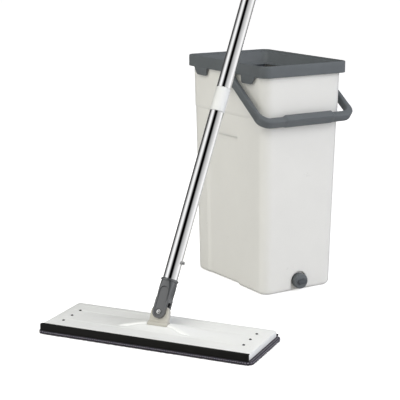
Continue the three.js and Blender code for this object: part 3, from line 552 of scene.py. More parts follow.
def microfibre(name, dark, light, scale=420.0, depth=0.0006):
    """Fabric whose colour follows its bump: painted shade darkens the low fibre roots and the raised fibre
    tips are painted lighter.
    """
    material, nodes, links, shader = material_shell(name)
    tufts = noise_node(nodes, links, scale, 6.0, 0.7)
    # The same noise drives the colour and the bump: dark is painted shade in the pile's low hollows, light is
    # painted highlight on its raised tips.
    links.new(
        colour_range(nodes, links, tufts.outputs["Fac"], dark, light, 0.32, 0.72),
        shader.inputs["Base Color"],
    )
    shader.inputs["Roughness"].default_value = 0.95
    shader.inputs["Specular IOR Level"].default_value = 0.15
    shader.inputs["Sheen Weight"].default_value = 0.2
    shader.inputs["Sheen Roughness"].default_value = 0.5
    bump(nodes, links, shader, tufts.outputs["Fac"], 0.8, depth)
    return material


def hook_fabric(name):
    material, nodes, links, shader = material_shell(name)
    hook_relief_and_shade = noise_node(nodes, links, 1200.0, 2.0, 0.5)
    # The same noise drives the colour and the bump: dark is painted shade in the tape's low hollows, light is
    # painted highlight on the raised hooks.
    links.new(
        colour_range(nodes, links, hook_relief_and_shade.outputs["Fac"], (0.012, 0.012, 0.013), (0.06, 0.06, 0.064)),
        shader.inputs["Base Color"],
    )
    shader.inputs["Roughness"].default_value = 0.9
    bump(nodes, links, shader, hook_relief_and_shade.outputs["Fac"], 0.8, 0.0004)
    return material


def make_materials():
    return {
        "cream": moulded_plastic("cream_plastic", (0.775, 0.77, 0.745), 0.32, spread=0.012),
        "divider": moulded_plastic("divider_plastic", (0.78, 0.77, 0.73), 0.45, spread=0.015),
        "slate": moulded_plastic("slate_plastic", (0.108, 0.120, 0.129), 0.46, 1700.0, 0.00006, 0.07),
        "knuckle": moulded_plastic(
            "knuckle_plastic", (0.05, 0.053, 0.058), 0.2, 1500.0, 0.00003, 0.06, ior=2.1
        ),
        "coupler": moulded_plastic("coupler_plastic", (0.74, 0.75, 0.75), 0.3, 1300.0, 0.00003, 0.012),
        "bolt": brushed_steel("bolt_steel", 0.82, 0.95, 0.12),
        # The dark plastic is the own colour of the seat, comb and blade holder; on the drain's finger grip it
        # is painted shade.
        "dark": moulded_plastic("dark_plastic", (0.06, 0.068, 0.078), 0.5, 1500.0, 0.00005, 0.06),
        "white": moulded_plastic("white_plastic", (0.84, 0.85, 0.845), 0.36, 1300.0, 0.00003, 0.012),
        "warm_grey": moulded_plastic("warm_grey_plastic", (0.50, 0.485, 0.44), 0.44, 1300.0, 0.00004, 0.03),
        "rubber": rubber("black_rubber", (0.008, 0.008, 0.0075), 0.62, 0.12),
        "silicone": rubber("grey_silicone", (0.42, 0.46, 0.49), 0.5),
        "microfibre": microfibre("microfibre_pile", (0.016, 0.015, 0.020), (0.105, 0.095, 0.125)),
        "binding": microfibre("binding_tape", (0.007, 0.006, 0.010), (0.062, 0.056, 0.078), 700.0, 0.0004),
        "thread": microfibre("stitching_thread", (0.20, 0.19, 0.23), (0.42, 0.40, 0.46), 900.0, 0.0001),
        "hook": hook_fabric("hook_tape"),
        "steel": brushed_steel("bright_steel"),
        "chrome": polished_tube("chrome_tube"),
    }


# ---------------------------------------------------------------- bucket


def taper(axis, z):
    return BASE_HALF[axis] + (TOP_HALF[axis] - BASE_HALF[axis]) * z / TAPER_HEIGHT


def smooth_step(t):
    t = min(1.0, max(0.0, t))
    return t * t * (3 - 2 * t)


def recess(y, z):
    """Depth of the dent in a long side of the bucket."""
    top = 1 - smooth_step((z - RECESS_TOP_Z + RECESS_TOP_SLOPE) / RECESS_TOP_SLOPE)
    if y < RECESS_FRONT_Y:
        across = smooth_step((y - RECESS_FRONT_Y + RECESS_LIP) / RECESS_LIP)
    elif y > RECESS_TURN_Y:
        across = RECESS_TURN_SHARE * max(0.0, RECESS_REAR_Y - y) / (RECESS_REAR_Y - RECESS_TURN_Y)
    else:
        run = (RECESS_TURN_Y - y) / (RECESS_TURN_Y - RECESS_FRONT_Y)
        across = RECESS_TURN_SHARE + (1 - RECESS_TURN_SHARE) * run
    return RECESS_DEPTH * across * top


def side_columns(reach):
    """Y places of the points along a long side: close together where the recess turns."""
    fixed = [-32, RECESS_FRONT_Y - RECESS_LIP]
    fixed += [RECESS_FRONT_Y - RECESS_LIP * k / 6 for k in range(5, -1, -1)]
    fixed += [-24, -16, -8, 0, 10, 20, 30, 40, 50, 54, 55, RECESS_TURN_Y, 56, 57, 60, 62]
    fixed += [RECESS_REAR_Y - 0.5, RECESS_REAR_Y, RECESS_REAR_Y + 0.5, 66, 70]
    low = np.linspace(-reach, -34, 8)
    high = np.linspace(74, reach, 4)
    return [*low, *fixed, *high]


def bucket_ring(z, inset):
    corner = max(CORNER_LOW + (CORNER_HIGH - CORNER_LOW) * z / TAPER_HEIGHT - inset, 3.0)
    half_x, half_y = taper(0, z) - inset, taper(1, z) - inset
    middle_x, reach = half_x - corner, half_y - corner
    columns = side_columns(reach)
    shift = max(inset, 0.0)
    ring = []
    ring += [(x, -half_y, z) for x in np.linspace(-middle_x, middle_x, 28)[1:-1]]
    ring += [(x, y, z) for x, y in arc((middle_x, -reach), corner, -90, 0, 10)][:-1]
    ring += [(half_x - recess(y - shift, z), y, z) for y in columns]
    ring += [(x, y, z) for x, y in arc((middle_x, reach), corner, 0, 90, 10)][1:]
    ring += [(x, half_y, z) for x in np.linspace(middle_x, -middle_x, 28)[1:-1]]
    ring += [(x, y, z) for x, y in arc((-middle_x, reach), corner, 90, 180, 10)][:-1]
    ring += [(-half_x + recess(y - shift, z), y, z) for y in reversed(columns)]
    ring += [(x, y, z) for x, y in arc((-middle_x, -reach), corner, 180, 270, 10)][1:]
    return ring


def bucket_rings():
    foot = [(0.9, FOOT_RADIUS + 8.0), (0.9, FOOT_RADIUS + 4.5), (0.0, FOOT_RADIUS + 3.5)]
    foot += corner_steps(0.0, 0.0, FOOT_RADIUS)
    levels = [*np.linspace(FOOT_RADIUS + 3, 60, 16), *np.linspace(70, 238, 18)]
    levels += [RECESS_TOP_Z - RECESS_TOP_SLOPE * k / 5 for k in range(5, -1, -1)]
    levels += [256, 268, 280]
    outer = [bucket_ring(z, inset) for z, inset in foot]
    outer += [bucket_ring(z, 0) for z in levels]
    outer += [bucket_ring(BAND_Z - 0.6, 0), bucket_ring(BAND_Z - 0.2, 0)]
    outer += [bucket_ring(BAND_Z + 0.4, -BAND_PROUD * 0.7), bucket_ring(BAND_Z + 0.9, -BAND_PROUD)]
    outer += [bucket_ring(z, -BAND_PROUD) for z in (290, 300, 315, 330, 345, 358, RIM_Z - 0.8)]
    rim = [(RIM_Z - 0.25, -BAND_PROUD + 0.2), (RIM_Z, -BAND_PROUD + 0.8)]
    rim += [(RIM_Z, WALL - BAND_PROUD - 0.8), (RIM_Z - 0.25, WALL - BAND_PROUD - 0.2)]
    outer += [bucket_ring(z, inset) for z, inset in rim]
    outer += [bucket_ring(z, WALL - BAND_PROUD) for z in (RIM_Z - 0.8, 340, 300, BAND_Z + 1)]
    inner = [bucket_ring(z, WALL) for z in (BAND_Z, 268, *reversed(levels[:-3]))]
    corner = corner_steps(FLOOR, WALL, FOOT_RADIUS - WALL)
    inner += [bucket_ring(z, inset) for z, inset in reversed(corner)]
    return outer + inner


def corner_steps(floor, inset, radius, steps=8):
    """Height and inset of the rings that round the edge of the base, lowest first."""
    angles = [math.pi / 2 * k / steps for k in range(steps + 1)]
    return [(floor + radius * (1 - math.cos(a)), inset + radius * (1 - math.sin(a))) for a in angles]


def drain_boss():
    """A thick round pad behind the pocket, which stays inside the wall and above the floor."""
    front = POCKET_Y - BOSS_DEPTH_IN_WALL
    boss = rod("y", BOSS_R, front, BOSS_Y, (0, 0, DRAIN_Z))
    cut(boss, block((-BOSS_R, BOSS_R), (front - 1, BOSS_Y + 1), (-BOSS_R, BOSS_FOOT_Z)))
    return add(boss, block((-BOSS_R, BOSS_R), (front, BOSS_Y), (BOSS_FOOT_Z, DRAIN_Z)))


def drain_pocket():
    pocket = rod("y", POCKET_R, POCKET_Y - 14, POCKET_Y, (0, 0, DRAIN_Z))
    return add(pocket, block((-POCKET_R, POCKET_R), (POCKET_Y - 14, POCKET_Y), (-2, DRAIN_Z)))


def divider_half(z):
    dent = RECESS_DEPTH * (RECESS_REAR_Y - 2.6) / (RECESS_REAR_Y - RECESS_FRONT_Y)
    return taper(0, z) - WALL - dent - 3 * GAP


def divider_rails():
    near, far = 1.6, 4.2
    rails = []
    for side in (-1, 1):
        for face in (-1, 1):
            outline = [(side * (divider_half(z) - 2.9), z) for z in (FLOOR - 1, 322)]
            outline += [(side * (divider_half(z) + 1.6), z) for z in (322, FLOOR - 1)]
            y = sorted((face * near, face * far))
            rails.append(prism(outline, y[0], y[1], "y"))
    return rails


def make_bucket(materials):
    shell = loft("bucket", bucket_rings())
    pivot_y, pivot_z = (value / MM for value in joints["bail_swing"]["pos_m"][1:])
    bosses = []
    for side in (-1, 1):
        x = sorted((side * 74, side * (ARM_X[0] - GAP)))
        bosses.append(rod("x", PIVOT_BOSS_R, x[0], x[1], (0, pivot_y, pivot_z)))
    add(shell, drain_boss(), *bosses, *divider_rails())
    cut(shell, drain_pocket(), rod("y", SEAT_HOLE_R, POCKET_Y - 14, BOSS_Y + 6, (0, 0, DRAIN_Z)))
    return finish_piece(
        shell, "bucket_moulding", "bucket", "bucket", materials["cream"], ["bucket_shell"]
    )


# ---------------------------------------------------------------- drain


def along_drain(obj):
    turned(obj, Matrix.Rotation(-math.pi / 2, 4, "X"))
    return shifted(obj, 0, 0, DRAIN_Z)


def make_drain(materials):
    back = POCKET_Y - GASKET_THICKNESS - 2 * GAP
    face = back - PLUG_THICKNESS
    profile = [(0, face), (PLUG_R - 2.2, face), (PLUG_R - 1.2, face + 0.2), (PLUG_R - 0.3, face + 0.9)]
    profile += [(PLUG_R, face + 1.8), (PLUG_R, back - 0.5), (PLUG_R - 0.5, back), (STEM_R, back)]
    turn_z = back + 2
    while turn_z < BOSS_Y + 7:
        profile += [(STEM_R, turn_z), (STEM_R - 0.5, turn_z + 0.9), (STEM_R, turn_z + 1.8)]
        turn_z += 2.4
    profile += [(STEM_R, BOSS_Y + 8), (STEM_R - 1.5, BOSS_Y + 10), (0, BOSS_Y + 10)]
    plug = along_drain(lathe("plug", profile, 80))
    wing_outline = arc((WING_X, DRAIN_Z), WING_R, -90, 90, 16) + arc((-WING_X, DRAIN_Z), WING_R, 90, 270, 16)
    wing = bevelled(prism(wing_outline, face - WING_PROUD, face + 0.1, "y"), 1.1, 5, 50)
    # The finger grip takes the dark plastic as painted shade: its dark oval stands in for the shadow round
    # the knob's grip bar.
    finish_piece(wing, "drain_grip_painted_shade", "bucket", "drain_cap", materials["dark"], [])
    finish_piece(
        plug, "drain_cap", "bucket", "drain_cap", materials["slate"], ["drain_plug"]
    )
    gasket_back = POCKET_Y - GAP
    section = [(7.2, gasket_back - 1.8), (11.6, gasket_back - 1.8), (11.6, gasket_back), (7.2, gasket_back)]
    gasket = along_drain(lathe("gasket", rounded_profile(section, 0.6), 80))
    finish_piece(
        gasket,
        "drain_washer",
        "bucket",
        "drain_washer",
        materials["rubber"],
        ["drain_gasket"],
    )


# ---------------------------------------------------------------- bail handle


def bail_path():
    """Points along the handle from the left ear to the right one, each with its direction."""
    x = sum(ARM_X) / 2
    y = -sum(REACH) / 2
    bend = 17.0
    left = [(-x, t) for t in np.linspace(0, y + bend, 24)]
    corner = arc((-x + bend, y + bend), bend, 180, 270, 14)[1:]
    front = [(t, y) for t in np.linspace(-x + bend, x - bend, 65)][1:]
    half = [*left, *corner, *front]
    return [*half, *[(-a, b) for a, b in reversed([*left, *corner])][1:]]


def bail_section(x, y, direction):
    """A rounded section of the handle, thicker over the grip."""
    side = Vector((direction.y, -direction.x))
    grip = smooth_step((48.5 - abs(x)) / 4.0) if y < -REACH[0] + 3 else 0.0
    bar = smooth_step((-y - 96) / 14)
    thickness = (ARM_X[1] - ARM_X[0]) * (1 - bar) + (REACH[1] - REACH[0] - 1.2) * bar + 1.4 * grip
    height = BAIL_HEIGHT + 3.4 * grip
    middle = BAIL_LIFT + 1.2 * grip
    ring = []
    for a, b in rounded_rectangle(thickness / 2, height / 2, 2.6, 5):
        place = Vector((x, y)) + side * a
        ring.append((place.x, place.y, middle + b))
    return ring


def bail_ear(side):
    inner, outer = sorted((side * ARM_X[0], side * ARM_X[1]))
    low, high = BAIL_LIFT - BAIL_HEIGHT / 2, BAIL_LIFT + BAIL_HEIGHT / 2
    outline = [(-34, high - 2.6), (-34, low + 2.6), (-24, low + 0.4)]
    outline += [(-15, -1.4), (-9.8, -6.2)]
    outline += arc((0, 0), EAR_R, 212, 360, 18)
    outline += [(10.6, 5), (8, 11), (2, high)]
    return bevelled(prism(outline, inner, outer, "x"), 1.6, 4, 40)


def make_bail(materials):
    points = [Vector(point) for point in bail_path()]
    rings = []
    for i, point in enumerate(points):
        ahead = points[min(i + 1, len(points) - 1)] - points[max(i - 1, 0)]
        rings.append(bail_section(point.x, point.y, ahead.normalized()))
    handle = loft("bail", rings)
    add(handle, bail_ear(-1), bail_ear(1))
    cut(handle, rod("x", PIVOT_PIN_R + 0.1, -100, 100))
    finish_piece(handle, "bail_loop", "bail", "bail", materials["slate"], ["bail_handle"])


# ---------------------------------------------------------------- lid


def lid_rings():
    """From the middle of the tray, up and over the rim, and back under to the tray's underside."""
    half_x, half_y = LID_HALF

    def grown(half, more, z, corner):
        return rectangle_ring(half[0] + more, half[1] + more, corner, z)

    rings = [grown(FUNNEL_FLOOR, -2.4, TRAY_Z, 10), grown(FUNNEL_FLOOR, -0.8, TRAY_Z + 0.3, 11.4)]
    rings += [grown(FUNNEL_FLOOR, 0.2, TRAY_Z + 1.3, 12.2)]
    top_less = [(-0.25, LEDGE_Z - 1.0), (0.2, LEDGE_Z - 0.25), (1.0, LEDGE_Z)]
    rings += [grown(FUNNEL_TOP, more, z, 12.6) for more, z in top_less]
    step = [(-4.6, LEDGE_Z), (-3.9, LEDGE_Z + 0.15), (-3.6, LEDGE_Z + 0.8), (-3.6, LID_TOP_Z - 1.0)]
    step += [(-3.3, LID_TOP_Z - 0.3), (-2.6, LID_TOP_Z), (-1.8, LID_TOP_Z), (-0.9, LID_TOP_Z - 0.25)]
    step += [(-0.25, LID_TOP_Z - 0.9), (0.0, LID_TOP_Z - 1.8), (0.0, 362), (0.0, 356)]
    step += [(0.0, SKIRT_Z + 0.7), (-0.2, SKIRT_Z + 0.2), (-0.7, SKIRT_Z), (-LID_SKIN + 0.6, SKIRT_Z)]
    step += [(-LID_SKIN, SKIRT_Z + 0.6), (-LID_SKIN, RIM_Z + GAP)]
    rings += [grown((half_x, half_y), more, z, 15 + more) for more, z in step]
    rings += [grown(FUNNEL_TOP, TRAY_SKIN - 1.2, RIM_Z + GAP, 13.2)]
    under = [(TRAY_SKIN - 0.2, TRAY_Z), (TRAY_SKIN - 0.8, TRAY_Z - TRAY_SKIN + 0.5)]
    under += [(TRAY_SKIN - 2.0, TRAY_Z - TRAY_SKIN)]
    rings += [grown(FUNNEL_FLOOR, more, z, 12) for more, z in under]
    return rings


def slot_tool(side):
    middle = side * (SLOT_Y[0] + SLOT_Y[1]) / 2
    half = (SLOT_Y[1] - SLOT_Y[0]) / 2
    flare = [(1.6, TRAY_Z + 3), (1.6, TRAY_Z + 0.05), (0.9, TRAY_Z - 0.15)]
    flare += [(0.25, TRAY_Z - 0.6), (0, TRAY_Z - 1.2)]
    flare += [(0, TRAY_Z - TRAY_SKIN - 3)]
    rings = [
        [(x, y + middle, z) for x, y in rounded_rectangle(SLOT_HALF_X + more, half + more, 5 + more)]
        for more, z in flare
    ]
    return loft("slot", rings)


def lid_tab(side, end):
    """One hook that hangs from the skirt, with a slanting outer edge."""
    near, far = TAB_Y
    corners = [(near, SKIRT_Z + 1), (near + 1.2, TAB_Z + 2), (near + 3.4, TAB_Z)]
    corners += [(far - 11, TAB_Z), (far - 7.6, TAB_Z + 2), (far, SKIRT_Z + 1)]
    y = [(end * a, b) for a, b in corners]
    x = sorted((side * (LID_HALF[0] - 3), side * LID_HALF[0]))
    return bevelled(prism(y, x[0], x[1], "x"), 0.5, 3, 50)


def roller_lugs():
    lugs = []
    for side in (-1, 1):
        y = sorted((side * (SLOT_Y[0] - 8), side * (ROLLER_Y + 5.5)))
        tip = side * ROLLER_Y
        for end in (-1, 1):
            for start in (ROLLER_X[0] - GAP - LUG_THICKNESS, ROLLER_X[1] + GAP):
                x = sorted((end * start, end * (start + LUG_THICKNESS)))
                lug = block(x, y, (ROLLER_Z - 6, TRAY_Z - 1))
                bevelled(lug, 0.6, 2)
                cut(lug, rod("x", AXLE_R + 0.1, -80, 80, (0, tip, ROLLER_Z), 32))
                lugs.append(lug)
    return lugs


def make_lid(materials):
    lid = loft("lid", lid_rings())
    cut(lid, slot_tool(-1), slot_tool(1))
    tabs = [lid_tab(side, end) for side in (-1, 1) for end in (-1, 1)]
    add(lid, *tabs, *roller_lugs())
    finish_piece(lid, "lid_moulding", "bucket", "lid", materials["slate"], ["lid_frame"])


# ---------------------------------------------------------------- wringer


def make_rollers(materials):
    low, high = ROLLER_X
    radius, bore = 7.0, AXLE_R + 0.1
    outer = [(radius - 1.0, low), (radius - 0.3, low + 0.25), (radius, low + 1.0)]
    grooves = 4
    for i in range(1, grooves + 1):
        at = low + i * (high - low) / (grooves + 1)
        outer += [(radius, at - 1.0), (radius - 0.7, at - 0.45)]
        outer += [(radius - 0.7, at + 0.45), (radius, at + 1.0)]
    outer += [(radius, high - 1.0), (radius - 0.3, high - 0.25), (radius - 1.0, high)]
    profile = [(bore, low), *outer, (bore, high)]
    for slot_name, side in (("wash", -1), ("dry", 1)):
        for end_name, end in (("left", -1), ("right", 1)):
            roller = lathe("roller", profile, 48)
            turned(roller, Matrix.Rotation(end * math.pi / 2, 4, "Y"))
            shifted(roller, 0, side * ROLLER_Y, ROLLER_Z)
            node = f"{slot_name}_roller_{end_name}"
            finish_piece(
                roller, f"{node}_skin", "bucket", f"{node}_body", materials["white"], [node]
            )


# ---------------------------------------------------------------- mop head


def hull(points, width):
    """The smallest convex solid round the points, with its edges bevelled."""
    mesh = bmesh.new()
    for point in points:
        mesh.verts.new(point)
    bmesh.ops.convex_hull(mesh, input=mesh.verts)
    solid = new_object("hull", [], [])
    mesh.to_mesh(solid.data)
    mesh.free()
    return bevelled(solid, width, 4, 12)


def plate_fairings():
    """A low mound round the saddle, and a fairing on each side of it that holds the tilt pin."""
    face, shoulder, toe = FAIRING_X
    base = PLATE_TOP_Z - 1
    mound = [(*MOUND_FOOT_HALF, base), (*MOUND_CREST_HALF, MOUND_TOP_Z)]
    corners = [(face, 9, base), (shoulder, 11, base), (toe + 4, 18, base)]
    corners += [(face, 5, FAIRING_TOP_Z), (shoulder, 5.5, FAIRING_TOP_Z), (toe, 14, PLATE_TOP_Z + 0.6)]
    solids = [hull([(a * x, b * y, z) for x, y, z in mound for a in (-1, 1) for b in (-1, 1)], 1.5)]
    for end in (-1, 1):
        solids.append(hull([(end * x, b * y, z) for x, y, z in corners for b in (-1, 1)], 1.2))
    return solids


def make_plugs(materials):
    """Dark domed plugs in the plate's six holes."""
    plugs = []
    for end in (-1, 1):
        for y in (-21, 4, 29):
            top = PLATE_TOP_Z
            profile = [(0, top - 2.6), (PLATE_HOLE_R - 0.15, top - 2.6), (PLATE_HOLE_R - 0.15, top + 0.3)]
            profile += [(PLATE_HOLE_R - 0.5, top + 0.85), (PLATE_HOLE_R - 1.2, top + 1.15), (0, top + 1.25)]
            plugs.append(shifted(lathe("plug", profile, 24), end * 141, end * y))
    plugs = joined("plugs", plugs)
    finish_piece(plugs, "plate_plugs", "head", "mop_head", materials["rubber"], [])


def plate_grooves():
    """Shallow lines along the plate's top, parallel to its long edges."""
    reach = PLATE_LENGTH / 2 - 7
    depth, width = 0.22, 0.45
    grooves = []
    for y in PLATE_LINES_Y:
        grooves.append(block((-reach, reach), (y - width, y + width), (PLATE_TOP_Z - depth, PLATE_TOP_Z + 4)))
    return grooves


def plate_pockets():
    pockets = []
    for end in (-1, 1):
        for start in (28, 64, 100):
            x = sorted((end * start, end * (start + 32)))
            pockets += [block(x, y, (0, PLATE_TOP_Z - 2.8)) for y in ((-20, -1.2), (1.2, 20))]
    for side in (-1, 1):
        y = sorted((side * 24, side * 48))
        pockets.append(block((-146, 146), y, (0, PLATE_BOTTOM_Z + 1.6)))
    return pockets


def make_plate(materials):
    outline = rounded_rectangle(PLATE_LENGTH / 2, PLATE_WIDTH / 2, 5, 8)
    plate = bevelled(prism(outline, PLATE_BOTTOM_Z, PLATE_TOP_Z), 0.6, 3, 28)
    cut(plate, *plate_grooves())
    add(plate, *plate_fairings())
    holes = [
        rod("z", PLATE_HOLE_R, 0, 20, (end * 141, end * y, 0), 24) for end in (-1, 1) for y in (-21, 4, 29)
    ]
    window = block((-WINDOW_HALF[0], WINDOW_HALF[0]), (-WINDOW_HALF[1], WINDOW_HALF[1]), (0, 30))
    pin_hole = rod("x", TILT_PIN_R + 0.1, -30, 30, (0, 0, TILT_AXIS_Z), 32)
    cut(plate, window, pin_hole, *holes, *plate_pockets())
    finish_piece(
        plate, "mop_plate_skin", "head", "mop_head", materials["white"], ["mop_plate"]
    )


def make_edge_strips(materials):
    """The front strip laps over the plate's edge, and the rear one stops below it."""
    inner = PLATE_WIDTH / 2 + GAP
    outer = inner + STRIP_WIDTH
    half = PLATE_LENGTH / 2 + 0.5
    for name, side, top in (("front", -1, PLATE_TOP_Z + 1.3), ("rear", 1, REAR_STRIP_TOP_Z)):
        section = [(inner, PAD_TOP_Z + GAP), (outer - 0.8, PAD_TOP_Z + GAP), (outer, PAD_TOP_Z + 1.5)]
        section += [(outer, top - 1), (outer - 0.9, top)]
        if name == "front":
            section += [(inner - 2, top), (inner - 2, PLATE_TOP_Z + GAP), (inner, PLATE_TOP_Z + GAP)]
        else:
            section += [(inner, top)]
        outline = [(side * y, z) for y, z in rounded_profile(section, 0.5)]
        strip = loft("strip", [[(x, y, z) for y, z in outline] for x in np.linspace(-half, half, 80)])
        bevelled(strip, 0.3, 2, 60)
        finish_piece(
            strip,
            f"{name}_rubber_strip",
            "head",
            "mop_head",
            materials["rubber"],
            [f"{name}_edge_strip"],
        )


PAD_SEAMS_Y = (-20.0, 20.0)
PAD_CAP = 1.2
PAD_VOXEL = 2.4


def pad_body():
    """The cushioned slab: a plain form a little under size, filled out by a short cloth simulation."""
    half_x, half_y = PAD_LENGTH / 2 - 2.4, PAD_WIDTH / 2 - 2.4
    section = [(-2.0, 0.7), (-0.6, 1.2), (0.0, 2.0), (0.0, 3.6), (-0.6, 4.3), (-2.0, 4.7)]
    rings = [rectangle_ring(half_x + more, half_y + more, 9, z) for more, z in section]
    return loft("pad", rings)


def filled_out(pad):
    """Swells the pad between its lengthwise seams, with no point moving further than the cap."""
    turned(pad, Matrix.Scale(MM, 4))
    remesh = pad.modifiers.new("remesh", "REMESH")
    remesh.mode = "VOXEL"
    remesh.voxel_size = PAD_VOXEL * MM
    apply_modifiers(pad)
    simulate(pad)
    smoother = pad.modifiers.new("finer", "SUBSURF")
    smoother.levels = 1
    apply_modifiers(pad)
    return turned(pad, Matrix.Scale(1 / MM, 4))


def simulate(pad):
    seams = pad.vertex_groups.new(name="seams")
    start = [vertex.co.copy() for vertex in pad.data.vertices]
    held = [i for i, place in enumerate(start) if min(abs(place.y / MM - y) for y in PAD_SEAMS_Y) < 1.6]
    seams.add(held, 1.0, "REPLACE")
    cloth = pad.modifiers.new("cloth", "CLOTH")
    cloth.settings.vertex_group_mass = "seams"
    cloth.settings.use_pressure = True
    cloth.settings.uniform_pressure_force = 4
    cloth.settings.effector_weights.gravity = 0
    cloth.point_cache.frame_start = 1
    cloth.point_cache.frame_end = 20
    for step in range(1, 21):
        bpy.context.scene.frame_set(step)
    apply_modifiers(pad)
    bpy.context.scene.frame_set(1)
    for vertex, before in zip(pad.data.vertices, start):
        move = vertex.co - before
        if move.length > PAD_CAP * MM:
            vertex.co = before + move.normalized() * PAD_CAP * MM
        vertex.co.z = min(max(vertex.co.z, 0.0001), (PAD_TOP_Z - 0.05) * MM)


def pad_outline(inset, step):
    return subdivided(rounded_rectangle(PAD_LENGTH / 2 - inset, PAD_WIDTH / 2 - inset, 10 - inset, 10), step)


def outwards(x, y, inset):
    """Direction out of the pad at a point of its outline."""
    half_x, half_y, corner = PAD_LENGTH / 2 - inset, PAD_WIDTH / 2 - inset, 10 - inset
    from_corner = Vector((max(abs(x) - half_x + corner, 0), max(abs(y) - half_y + corner, 0)))
    unit = from_corner.normalized()
    return Vector((math.copysign(unit.x, x), math.copysign(unit.y, y), 0))


def pad_binding():
    """Ribbed tape folded round the pad's edge."""
    section = [(-6.0, 0.35), (-3.0, 0.15), (-1.2, 0.5), (-0.3, 1.3), (0.0, 2.6), (-0.2, 3.8)]
    section += [(-1.0, 4.8), (-2.4, 5.15), (-5.5, 5.1), (-5.5, 4.4)]
    section += [(-2.6, 4.4), (-1.6, 2.6), (-2.6, 1.0), (-6.0, 0.9)]
    rings = []
    for i, (x, y) in enumerate(pad_outline(0.4, 0.55)):
        out = outwards(x, y, 0.4)
        rib = 0.14 * math.cos(TAU * i / 3) + 0.12 * noise.noise(Vector((x * 0.3, y * 0.3, 2.0)))
        ring = []
        for more, z in section:
            facing = 1.0 if more > -2.5 else 0.25
            place = Vector((x, y, 0)) + out * (more + rib * facing)
            ring.append((place.x, place.y, z))
        rings.append(ring)
    return loft("binding", rings, looped=True)


def pad_stitches():
    """A line of short stitches along the binding's inner edge and one down its outer face."""
    parts = []
    for inset, z, tall in ((3.6, 5.15, 0.16), (0.45, 3.9, 0.5)):
        outline = pad_outline(inset, 1.15)
        count = len(outline)
        for i in range(0, count - 1, 3):
            a, b = Vector((*outline[i], z)), Vector((*outline[(i + 2) % count], z))
            out = outwards(*outline[i], inset)
            parts.append(stitch(a, b, out, 0.42, tall))
    return joined("stitches", parts)


def stitch(a, b, out, half_width, half_height):
    """One thread: a six-sided bar whose ends dip into the tape."""
    rings = []
    for t, share in ((0.0, 0.3), (0.25, 0.9), (0.5, 1.0), (0.75, 0.9), (1.0, 0.3)):
        middle = a.lerp(b, t)
        rings.append(
            [
                tuple(
                    middle
                    + out * half_width * share * math.cos(TAU * k / 6)
                    + Vector((0, 0, half_height * share * math.sin(TAU * k / 6)))
                )
                for k in range(6)
            ]
        )
    return loft("stitch", rings)


def subdivided(outline, step):
    """The closed outline with a fixed number of points on each edge, about step apart."""
    points = []
    for i, start in enumerate(outline):
        a, b = Vector(start), Vector(outline[(i + 1) % len(outline)])
        count = max(1, round((b - a).length / step))
        points += [tuple(a.lerp(b, k / count)) for k in range(count)]
    return points


def fibre_tufts(rng):
    """Short curled fibres of the pile below the binding, each a bent tapering spike."""
    inset = 2.6
    vertices, faces = [], []
    sides = 4
    for x, y in pad_outline(inset, 0.9):
        for z in (0.5, 1.1):
            out = outwards(x, y, inset)
            stray = (rng.uniform(-0.5, 0.5), rng.uniform(-0.5, 0.5), rng.uniform(-0.2, 0.3))
            root = Vector([a + b for a, b in zip((x, y, z), stray)])
            lean = Vector((rng.uniform(-0.7, 0.7), rng.uniform(-0.7, 0.7), rng.uniform(-0.5, 0.1)))
            direction = (out + lean).normalized()
            length = rng.uniform(1.8, 3.4)
            thickness = rng.uniform(0.28, 0.42)
            across = direction.cross(Vector((0, 0, 1))).normalized()
            above = across.cross(direction)
            start = len(vertices)
            for k, shrink in enumerate((1.0, 0.85)):
                droop = Vector((0, 0, -0.25 * k * k))
                centre = root + direction * length * 0.55 * k + droop
                for s in range(sides):
                    angle = TAU * s / sides
                    offset = (across * math.cos(angle) + above * math.sin(angle)) * thickness * shrink
                    vertices.append(lifted(centre + offset))
            vertices.append(lifted(root + direction * length + Vector((0, 0, -0.4))))
            for s in range(sides):
                t = (s + 1) % sides
                faces.append((start + s, start + t, start + sides + t, start + sides + s))
                faces.append((start + sides + s, start + sides + t, start + 2 * sides))
            faces.append(tuple(start + s for s in reversed(range(sides))))
    return new_object("tufts", vertices, faces)


def lifted(point):
    """The point, kept above the surface that the pad lies on."""
    return (point.x, point.y, max(point.z, 0.02))


def make_pad(materials):
    pad = joined("pad", [filled_out(pad_body()), fibre_tufts(random.Random(11))])
    finish_piece(
        pad, "microfibre_pad", "head", "mop_head", materials["microfibre"], ["mop_pad"], 60
    )
    binding = pad_binding()
    finish_piece(binding, "pad_binding", "head", "mop_head", materials["binding"], [], 60)
    stitches = pad_stitches()
    finish_piece(stitches, "pad_stitching", "head", "mop_head", materials["thread"], [], 60)


# ---------------------------------------------------------------- saddle


def make_saddle(materials):
    barrel = rod("x", BARREL_R, -WINDOW_HALF[0] + GAP, WINDOW_HALF[0] - GAP)
    right = [(14.6, 0), (14.4, 8), (14.3, FOLD_RISE), (13.9, 22), (12.6, 24.6)]
    right += [(10.4, 26.6), (7.4, 27.8), (4, 28.2)]
    left = [(-x, z) for x, z in reversed(right)]
    tongue = prism(right + left, -TONGUE_HALF_Y, TONGUE_HALF_Y, "y")
    bevelled(barrel, 0.7, 3, 50)
    bevelled(tongue, 0.7, 3, 40)
    add(barrel, tongue)
    cut(barrel, rod("x", TILT_PIN_R + 0.1, -20, 20, (0, 0, 0), 32))
    cut(barrel, rod("y", BOLT_R + 0.1, -10, 10, (0, 0, FOLD_RISE), 32))
    finish_piece(
        barrel,
        "saddle_skin",
        "saddle",
        "saddle",
        materials["warm_grey"],
        ["saddle_block"],
    )


# ---------------------------------------------------------------- pole


